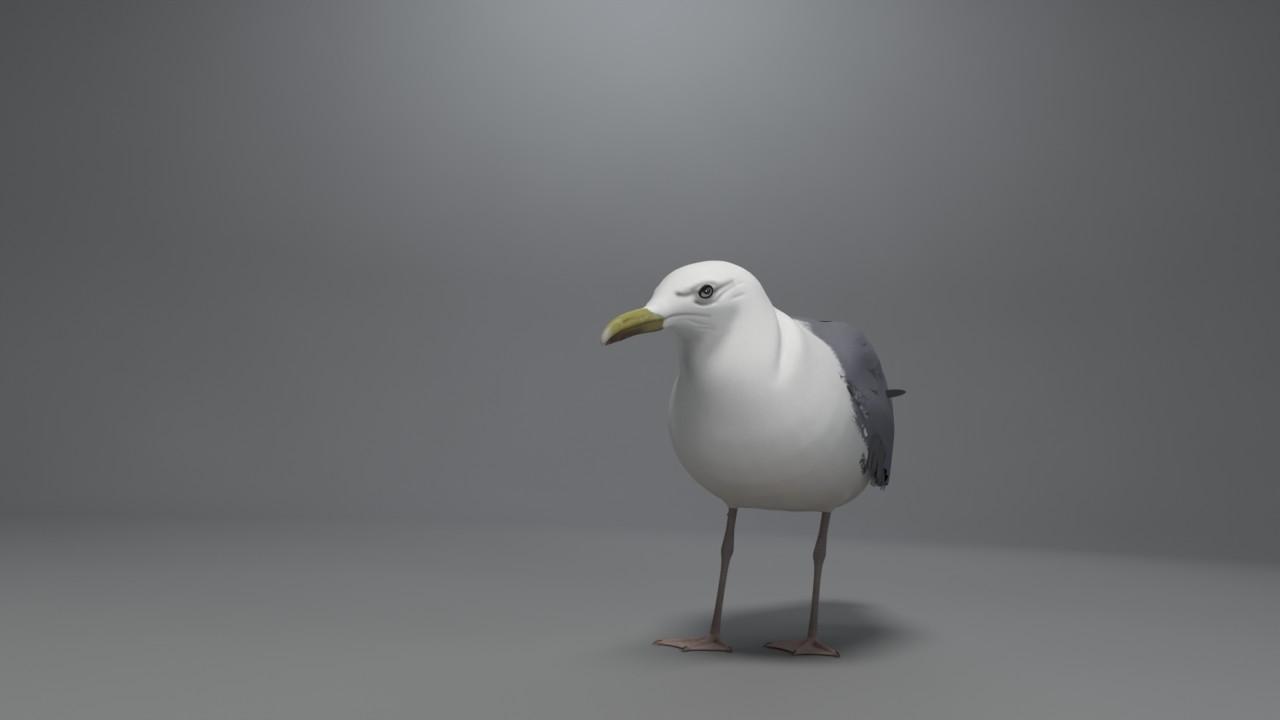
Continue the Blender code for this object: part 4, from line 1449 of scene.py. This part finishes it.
def bill_colour(spots, upper):
    along, up = spots[:, 0], spots[:, 2]
    colour = blend(np.tile(HORN, (len(spots), 1)), GAPE, ramp(along, 50, 36) * 0.9)
    if upper:
        edge = np.interp(along, CUTTING_EDGE[:, 0], CUTTING_EDGE[:, 1])
        slit, groove = nostril_gaps(spots)
        layers = [
            # Painted shade along the cutting edge, in the groove and in the nostril; the pale tip is the horn's own.
            (EDGE_SHADE_HORN, ramp(up - edge, 3.4, 0.4) * ramp(along, 36, 50) * 0.8),
            (TIP_HORN, ramp(along, 76.0, 81.5) * 0.9),
            (GROOVE_SHADE_HORN, hump(groove, 0.9) * 0.5),
            (NOSTRIL_SHADE_HORN, hump(slit, 0.75)),
        ]
    else:
        red = np.exp(-(((along - 67.0) / 5.5) ** 4) - (((up + 19.6) / 2.6) ** 4))
        layers = [
            # Painted shade: the whole lower half darker, and darkest towards its underside.
            (LOWER_SHADE_HORN, np.full(len(spots), 0.75)),
            (DEEP_SHADE_HORN, ramp(along, 42, 56) * (0.45 + 0.5 * ramp(up, -13.5, -16.5))),
            (DEEP_SHADE_HORN, ramp(up, -17.0, -19.5) * 0.7),
            (RED_SPOT, red * 0.75),
            (LOWER_TIP, ramp(along, 78.0, 81.0) * 0.6),
        ]
    for other, amounts in layers:
        colour = blend(colour, other, amounts)
    return opaque(colour)


def make_bill():
    for name, table, upper in (("bill_sheath_upper", UPPER_BILL, True), ("bill_sheath_lower", LOWER_BILL, False)):
        spots = bill_half(table, upper).reshape(-1, 3)
        if upper:
            slit, groove = nostril_gaps(spots)
            inward = NOSTRIL_DEPTH * hump(slit, 0.6) + GROOVE_DEPTH * hump(groove, 1.2)
            spots = spots - np.sign(spots) * [0, 1, 0] * inward[:, None]
        spots, faces = capped(spots, BILL_RINGS, BILL_ROUND)
        points = from_head(spots)
        marks = {"markings_and_shade": bill_colour(spots, upper)}
        piece = mesh_object(name, points, outward(points, faces), BILL_FINISH, marks)
        own(piece, "bill", "bill_upper" if upper else "bill_lower")


EYE_RINGS, EYE_ROUND = 48, 56
PUPIL, IRIS = math.radians(22), math.radians(42)
GAZE = 0.12  # how far up the eye looks
PUPIL_TONE, IRIS_TONE = np.array([0.02, 0.018, 0.016]), np.array([0.50, 0.51, 0.46])


def make_eyes():
    for which in SIDES:
        out, ahead, above = eye_frame(which)
        out, above = unit(out + above * GAZE), unit(above - out * GAZE)
        angles = np.linspace(0.012, math.pi - 0.012, EYE_RINGS)
        turn = np.linspace(0, 2 * np.pi, EYE_ROUND, endpoint=False)
        bulge = EYE_RADIUS + 0.35 * ramp(angles, IRIS, 0.0)
        ring = (np.cos(turn)[:, None] * ahead + np.sin(turn)[:, None] * above)[None]
        points = out * np.cos(angles)[:, None, None] + ring * np.sin(angles)[:, None, None]
        points = EYES[which] + points * bulge[:, None, None]
        flat, faces = capped(points.reshape(-1, 3), EYE_RINGS, EYE_ROUND)
        angle = np.append(np.repeat(angles, EYE_ROUND), [0, math.pi])
        streak = np.append(np.tile(np.sin(turn * 17) * 0.5 + np.sin(turn * 31 + 1) * 0.5, EYE_RINGS), [0, 0])
        iris = ramp(angle, PUPIL - 0.02, PUPIL + 0.03) * ramp(angle, IRIS + 0.03, IRIS - 0.05)
        # Painted shade of the brow: the iris darker in its upper half.
        shaded = np.append(np.tile(0.32 + 0.68 * ramp(np.sin(turn), 0.0, -0.8), EYE_RINGS), [1, 1])
        pale = IRIS_TONE * ((1 + 0.14 * streak) * shaded)[:, None]
        pale = pale * (0.5 + 0.5 * ramp(angle, IRIS, IRIS - 0.25))[:, None]
        marks = {"markings_and_shade": opaque(blend(np.tile(PUPIL_TONE, (len(flat), 1)), pale, iris))}
        own(mesh_object("eyeball_" + which, flat, outward(flat, faces), EYE_FINISH, marks), "eye", "eye_" + which)


LID_RINGS, LID_ROUND = 72, 10
# How far out from the opening's edge, as a share of its size, then the thickness and the colour, dark as painted shade
# round the opening.
LIDS = ((1.0, 0.65, (0.012, 0.010, 0.009)), (1.14, 0.40, (0.11, 0.10, 0.09)))


def tube(line, radius, aside, up, around, broad=1.0):
    """Rings of points round a line: aside and up are the ways across it, and broad is its breadth for its height."""
    turn = np.linspace(0, 2 * np.pi, around, endpoint=False)[None, :, None]
    return line[:, None] + radius[:, None, None] * (broad * np.cos(turn) * aside + np.sin(turn) * up)


def make_lids():
    """The dark rim and the fleshy ring round each eye, both coloured dark as painted shade."""
    points, faces, colours = [], [], []
    turn = np.linspace(0, 2 * np.pi, LID_RINGS, endpoint=False)
    for which in SIDES:
        out, ahead, above = eye_frame(which)
        for reach, thick, colour in LIDS:
            long = np.sign(np.cos(turn)) * np.abs(np.cos(turn)) ** 1.15 * EYE_OPENING[0] * reach
            high = np.sin(turn) * EYE_OPENING[1] * reach
            x = long * math.cos(EYE_SLANT) - high * math.sin(EYE_SLANT)
            y = high * math.cos(EYE_SLANT) + long * math.sin(EYE_SLANT)
            deep = np.sqrt(np.maximum((EYE_RADIUS + 0.15) ** 2 - x**2 - y**2, 1.0))
            line = EYES[which] + x[:, None] * ahead + y[:, None] * above + deep[:, None] * out
            run = unit(np.roll(line, -1, 0) - np.roll(line, 1, 0))
            outer = unit(line - EYES[which])
            aside = unit(np.cross(run, outer))
            size = thick * (1 + 0.45 * np.maximum(np.sin(turn), 0))
            size = size * (1 + 0.03 * np.sin(turn * 23))
            flat = tube(line, size, aside[:, None], outer[:, None], LID_ROUND).reshape(-1, 3)
            grid = np.arange(len(flat)).reshape(LID_RINGS, LID_ROUND) + len(flat) * len(points)
            along, beside = np.roll(grid, -1, 0), np.roll(grid, -1, 1)
            faces.append(np.stack([grid, beside, np.roll(along, -1, 1), along], 2).reshape(-1, 4))
            points.append(flat)
            colours.append(np.tile(colour, (len(flat), 1)))
    marks = {"markings_and_shade": opaque(np.concatenate(colours))}
    own(mesh_object("eyelids", np.concatenate(points), [np.concatenate(faces)], LID_FINISH, marks), "leg_skin")


# ---------------------------------------------------------------- legs and claws

LEG_VOXEL, LEG_GROW = 0.6, 0.24
LEG_SINK = 0.12  # how much deeper the leg's skin then lies
LEG_TONE, JOINT_TONE = (0.44, 0.37, 0.34), (0.30, 0.25, 0.25)
JOINT_HEIGHT, JOINT_HALF = 74.0, 9.0
# Colours above the joint, darker as painted shade, and on the feet, lighter as painted light: the heights where each
# starts and is full, and how much it covers.
LEG_SHADE_AND_LIGHT = [((0.25, 0.205, 0.20), 76, 88, 0.8), ((0.72, 0.52, 0.45), 16, 6, 0.95)]
# The length of each plate of the leg's skin along the shank and along the toes, and its height.
SHANK_PLATE, TOE_PLATE = (2.7, 0.24), (2.1, 0.20)
FOOT_TURN = {"left": -4, "right": -9}
# How far each toe reaches, backward where it is less than 0, and how far it is spread, in degrees.
TOES = ((47.0, -41), (60.0, 0), (56.0, 36), (-9.5, 0))
CLAW_LENGTH, CLAW_ROOT, CLAW_RADIUS = 9.0, 8.2, 1.5
BACK_CLAW, BACK_CLAW_LIFT = 0.55, 1.6
CLAW_RINGS, CLAW_ROUND = 10, 12
UPWARD = np.array([0, 0, 1.0])


def ankle_of(which):
    points = leg_points(which)
    foot = points[points[:, 2] < points[:, 2].min() + 0.5]
    return np.array([*((foot[:, :2].min(0) + foot[:, :2].max(0)) / 2), 0.0])


def scutes(height, pitch):
    """Overlapping plates: rises slowly and falls off at each plate's edge."""
    phase = (height / pitch) % 1
    return np.where(phase < 0.8, phase / 0.8, (1 - phase) / 0.2)


def make_legs():
    for which in SIDES:
        points, faces = solid_of(["leg_" + which, "foot_" + which], LEG_VOXEL, LEG_GROW)
        points = relax(points, edges_of(faces), 3)
        normals = normals_of(points, faces)
        flat = points - ankle_of(which)
        reach = np.hypot(flat[:, 0], flat[:, 1])
        height = points[:, 2]
        shank = ramp(height, 9, 14)
        front = ramp(-normals[:, 1], -0.1, 0.5)
        top = ramp(normals[:, 2], 0.1, 0.7) * (1 - shank) * ramp(reach, 5, 9)
        lift = SHANK_PLATE[1] * (scutes(height, SHANK_PLATE[0]) - 0.5) * shank * front
        lift += TOE_PLATE[1] * (scutes(reach, TOE_PLATE[0]) - 0.5) * top
        points = points + normals * (lift - LEG_SINK)[:, None]
        points[:, 2] = np.maximum(points[:, 2], 0.0)
        tint = np.tile(LEG_TONE, (len(points), 1))
        tint = blend(tint, JOINT_TONE, hump(height - JOINT_HEIGHT, JOINT_HALF) * 0.8)
        # Painted shade above the joint and painted light on the feet.
        for tone, start, full, amount in LEG_SHADE_AND_LIGHT:
            tint = blend(tint, tone, ramp(height, start, full) * amount)
        tint = tint * (0.86 + 0.14 * np.clip(lift / 0.12 + 0.5, 0, 1))[:, None]
        piece = mesh_object("leg_skin_" + which, points, [faces], LEG_FINISH, {"markings_and_shade": opaque(tint)})
        own(piece, "leg_skin", "leg_" + which, "foot_" + which)


def make_claws():
    points, faces = [], []
    at = np.linspace(0, 1, CLAW_RINGS)
    for which, side in SIDES.items():
        ankle = ankle_of(which)
        for reach, spread in TOES:
            turn = math.radians(FOOT_TURN[which] + side * spread)
            run = np.array([math.sin(turn), -math.cos(turn), 0.0]) * np.sign(reach)
            aside = np.array([-run[1], run[0], 0.0])
            small, lifted = (BACK_CLAW, BACK_CLAW_LIFT) if reach < 0 else (1.0, 1)
            start = abs(reach) - CLAW_ROOT * small
            height = (2.3 + 1.2 * np.sin(at * 2.2) - 2.6 * at**2) * lifted
            radius = small * (CLAW_RADIUS * (1 - at) ** 0.7 + 0.12)
            centre = ankle + run * (start + at * CLAW_LENGTH * small)[:, None] + UPWARD * height[:, None]
            ring = tube(centre, radius, aside, UPWARD, CLAW_ROUND, 0.8)
            ring[..., 2] = np.maximum(ring[..., 2], 0.02)
            flat, made = capped(ring.reshape(-1, 3), CLAW_RINGS, CLAW_ROUND)
            faces += [group + len(flat) * len(points) for group in outward(flat, made)]
            points.append(flat)
    quads, ends = (np.concatenate([f for f in faces if f.shape[1] == size]) for size in (4, 3))
    own(mesh_object("claws", np.concatenate(points), [quads, ends], CLAW_FINISH), "leg_skin")


# ---------------------------------------------------------------- finishes


def plumage_finish():
    f = Finish("plumage", roughness=0.85, Specular_IOR_Level=0.2)
    colour = f.attribute("markings_and_shade", "Color")
    end, across, tip = f.parts_of(f.attribute("vane", "Vector"))
    place = f.place()
    drift = f.grain(22.0, 4.0, 0.6, place)
    colour = f.darken(colour, drift.step(0.35, 0.72) * 0.12, 0.66, 0.64, 0.61)
    barbs = ((end + abs(across) * 1.3) * 7.0).sine()
    colour = f.darken(colour, barbs.step(-1.0, 1.0) * 0.06, 0.55, 0.56, 0.58)
    quill = abs(across).step(0.5, 0.2) * end.step(1.0, 6.0)
    colour = f.darken(colour, quill * 0.12, 0.3, 0.3, 0.3)
    edge = (tip - end + f.grain(500.0, 2.0, 0.5, place) - 0.5).step(-0.3, 0.4)
    colour = f.mix(edge, colour, rgb(0.80, 0.80, 0.79))
    f.feed("Base Color", colour)
    fine = f.grain(2400.0, 2.0, 0.6, place)
    f.bump(barbs * 0.10 + fine * 0.5, 0.00010, 0.4)
    return f.material


def skin_finish():
    f = Finish("feather roots", roughness=0.9)
    colour = f.attribute("markings_and_shade", "Color")
    colour = f.darken(colour, f.grain(300.0).step(0.3, 0.8) * 0.3, 0.6, 0.6, 0.6)
    f.feed("Base Color", colour)
    f.bump(f.grain(1500.0), 0.0002)
    return f.material


def bill_finish():
    f = Finish("bill horn", roughness=0.42, Specular_IOR_Level=0.35)
    place = f.place()
    stretch = f.node("ShaderNodeMapping", {}, Vector=place, Scale=(1.0, 1.0, 2.4))
    streaks = f.grain(420.0, 4.0, 0.6, stretch)
    colour = f.attribute("markings_and_shade", "Color")
    colour = f.darken(colour, streaks.step(0.38, 0.75) * 0.35, 0.62, 0.5, 0.3)
    colour = f.mix(f.grain(160.0, 3.0, 0.5, place).step(0.5, 0.8) * 0.25, colour, rgb(0.8, 0.78, 0.6), "SCREEN")
    f.feed("Base Color", colour)
    f.feed("Roughness", streaks * 0.25 + 0.34)
    f.bump(streaks * 0.7 + f.grain(1800.0, 2.0, 0.5, place) * 0.3, 0.00018, 0.6)
    return f.material


def eye_finish():
    f = Finish("eye", roughness=0.05, Coat_Weight=1.0, Coat_Roughness=0.02, IOR=1.4)
    blotch = f.grain(900.0).step(0.4, 0.8)
    f.feed("Base Color", f.darken(f.attribute("markings_and_shade", "Color"), blotch * 0.3, 0.5, 0.45, 0.3))
    return f.material


def lid_finish():
    f = Finish("lid skin", roughness=0.75, Specular_IOR_Level=0.2)
    grain = f.grain(2500.0, 3.0)
    colour = f.attribute("markings_and_shade", "Color")
    f.feed("Base Color", f.darken(colour, grain.step(0.35, 0.7) * 0.5, 0.4, 0.35, 0.3))
    f.bump(grain, 0.0002, 0.7)
    return f.material


def leg_finish():
    f = Finish("scaled leg skin", roughness=0.55)
    place = f.place()
    cells = f.node("ShaderNodeTexVoronoi", {"feature": "DISTANCE_TO_EDGE"}, Vector=place, Scale=950.0)
    seams = cells.step(0.12, 0.0)
    blotch = f.grain(120.0, 4.0, 0.6, place)
    colour = f.attribute("markings_and_shade", "Color")
    colour = f.darken(colour, blotch.step(0.4, 0.7) * 0.45, 0.68, 0.63, 0.66)
    colour = f.darken(colour, seams * 0.35, 0.55, 0.45, 0.42)
    f.feed("Base Color", colour)
    f.feed("Roughness", blotch * 0.3 + 0.4)
    f.bump(1.0 - seams + f.grain(3000.0, 2.0, 0.5, place) * 0.3, 0.00022, 0.6)
    return f.material


def claw_finish():
    f = Finish("claw horn", roughness=0.35)
    grain = f.grain(700.0, 3.0)
    f.feed("Base Color", f.mix(grain, rgb(0.03, 0.026, 0.022), rgb(0.12, 0.09, 0.07)))
    f.bump(grain, 0.0001)
    return f.material


PLUMAGE = plumage_finish()
SKIN_FINISH = skin_finish()
BILL_FINISH = bill_finish()
EYE_FINISH = eye_finish()
LID_FINISH = lid_finish()
LEG_FINISH = leg_finish()
CLAW_FINISH = claw_finish()


def make_skin():
    points, faces = skin_shape()
    colour = markings_and_shade(points)
    spots = in_head(points)
    colour = blend(colour, GAPE, ramp(past_bill_line(spots), -0.8, 0.2) * (spots[:, 0] > 20))
    piece = mesh_object("skin", points, [faces], SKIN_FINISH, {"markings_and_shade": opaque(colour)})
    own(piece, "plumage_white", *BODY_NODES)
    return Surface(points, faces)


# ---------------------------------------------------------------- light and camera


FLOOR_REACH, WALL_CURVE, WALL_TOP = 2200, 900, 2600
FLOOR_ROUND = 96


def stage_floor():
    """A round pale floor that curves up into a low wall."""
    f = Finish("pale floor", roughness=0.9)
    f.feed("Base Color", f.mix(f.grain(3.0, 2.0), rgb(0.305, 0.31, 0.315), rgb(0.33, 0.335, 0.34)))
    bends = np.linspace(0.1, math.pi / 2, 12)
    rings = [(0.001, 0.0), (1200, 0.0), (FLOOR_REACH, 0.0)]
    rings += [(FLOOR_REACH + WALL_CURVE * math.sin(a), WALL_CURVE - WALL_CURVE * math.cos(a)) for a in bends]
    rings += [(FLOOR_REACH + WALL_CURVE, WALL_TOP)]
    angles = np.linspace(0, 2 * np.pi, FLOOR_ROUND, endpoint=False)
    points = np.array([(r * math.cos(a), r * math.sin(a), z) for r, z in rings for a in angles])
    floor = mesh_object("floor", points, [loft_faces(len(rings), FLOOR_ROUND)], f.material)


def hang(name, lamp, place, target):
    """Puts a light where it belongs, pointing at its target."""
    made = bpy.data.objects.new(name, lamp)
    bpy.context.scene.collection.objects.link(made)
    direction = Vector(target) - Vector(place)
    made.matrix_world = Matrix.Translation(place) @ direction.to_track_quat("-Z", "Y").to_matrix().to_4x4()


def light(name, place, target, size, watts, colour):
    lamp = bpy.data.lights.new(name, "AREA")
    lamp.shape = "DISK"
    lamp.size = size
    lamp.energy = watts
    lamp.color = colour
    hang(name, lamp, place, target)


def spot_light(name, place, target, size, cone, watts):
    lamp = bpy.data.lights.new(name, "SPOT")
    lamp.shadow_soft_size = size
    lamp.spot_size = math.radians(cone)
    lamp.spot_blend = 1.0
    lamp.energy = watts
    hang(name, lamp, place, target)


def lights():
    """Places and sizes of lights are in metres."""
    target = (-0.01, -0.12, 0.2)
    light("key", (0.08, -0.94, 1.74), target, 0.6, 19, (1.0, 0.98, 0.96))
    light("side", (1.4, -0.35, 1.0), target, 0.9, 2, (0.90, 0.95, 1.0))
    light("back", (0.1, 1.5, 1.4), target, 1.2, 4, (0.95, 0.97, 1.0))
    spot_light("face", (0.80, -0.85, 0.34), (0.0, -0.2, 0.228), 0.12, 16, 18)
    spot_light("throat", (-0.30, -1.10, 0.42), (0.0, -0.19, 0.222), 0.12, 14, 7)
    light("backdrop", (-0.8, 1.7, 2.4), (-1.06, 3.0, 0.5), 1.2, 20, (0.93, 0.96, 1.0))
    world = bpy.data.worlds.new("soft room")
    world.use_nodes = True
    sky = world.node_tree.nodes["Background"].inputs
    sky["Color"].default_value = rgb(0.82, 0.89, 1.0)
    sky["Strength"].default_value = 0.035
    bpy.context.scene.world = world
    bpy.context.scene.view_settings.view_transform = "Standard"


CAMERA_PLACE = (0.1715, -0.8553, 0.125)  # metres
CAMERA_TURN, CAMERA_RISE, CAMERA_ROLL = 20.0, 7.153, 2.3  # degrees
CAMERA_LENS = 28.125


def camera():
    lens = bpy.data.cameras.new("camera")
    lens.sensor_width = 36
    lens.lens = CAMERA_LENS
    lens.clip_start = 0.01
    made = bpy.data.objects.new("camera", lens)
    bpy.context.scene.collection.objects.link(made)
    made.matrix_world = (
        Matrix.Translation(CAMERA_PLACE)
        @ Matrix.Rotation(math.radians(CAMERA_TURN), 4, "Z")
        @ Matrix.Rotation(math.radians(90 + CAMERA_RISE), 4, "X")
        @ Matrix.Rotation(math.radians(CAMERA_ROLL), 4, "Z")
    )
    bpy.context.scene.camera = made


# ---------------------------------------------------------------- assembly

skin = make_skin()
grow_coat(skin)
for which in SIDES:
    wing = wing_feathers(which)
    edge_feathers(which)
    if which == "left":
        stray_feathers(wing)
tail_feathers()
make_bill()
make_eyes()
make_lids()
make_legs()
make_claws()
stage_floor()
lights()
camera()
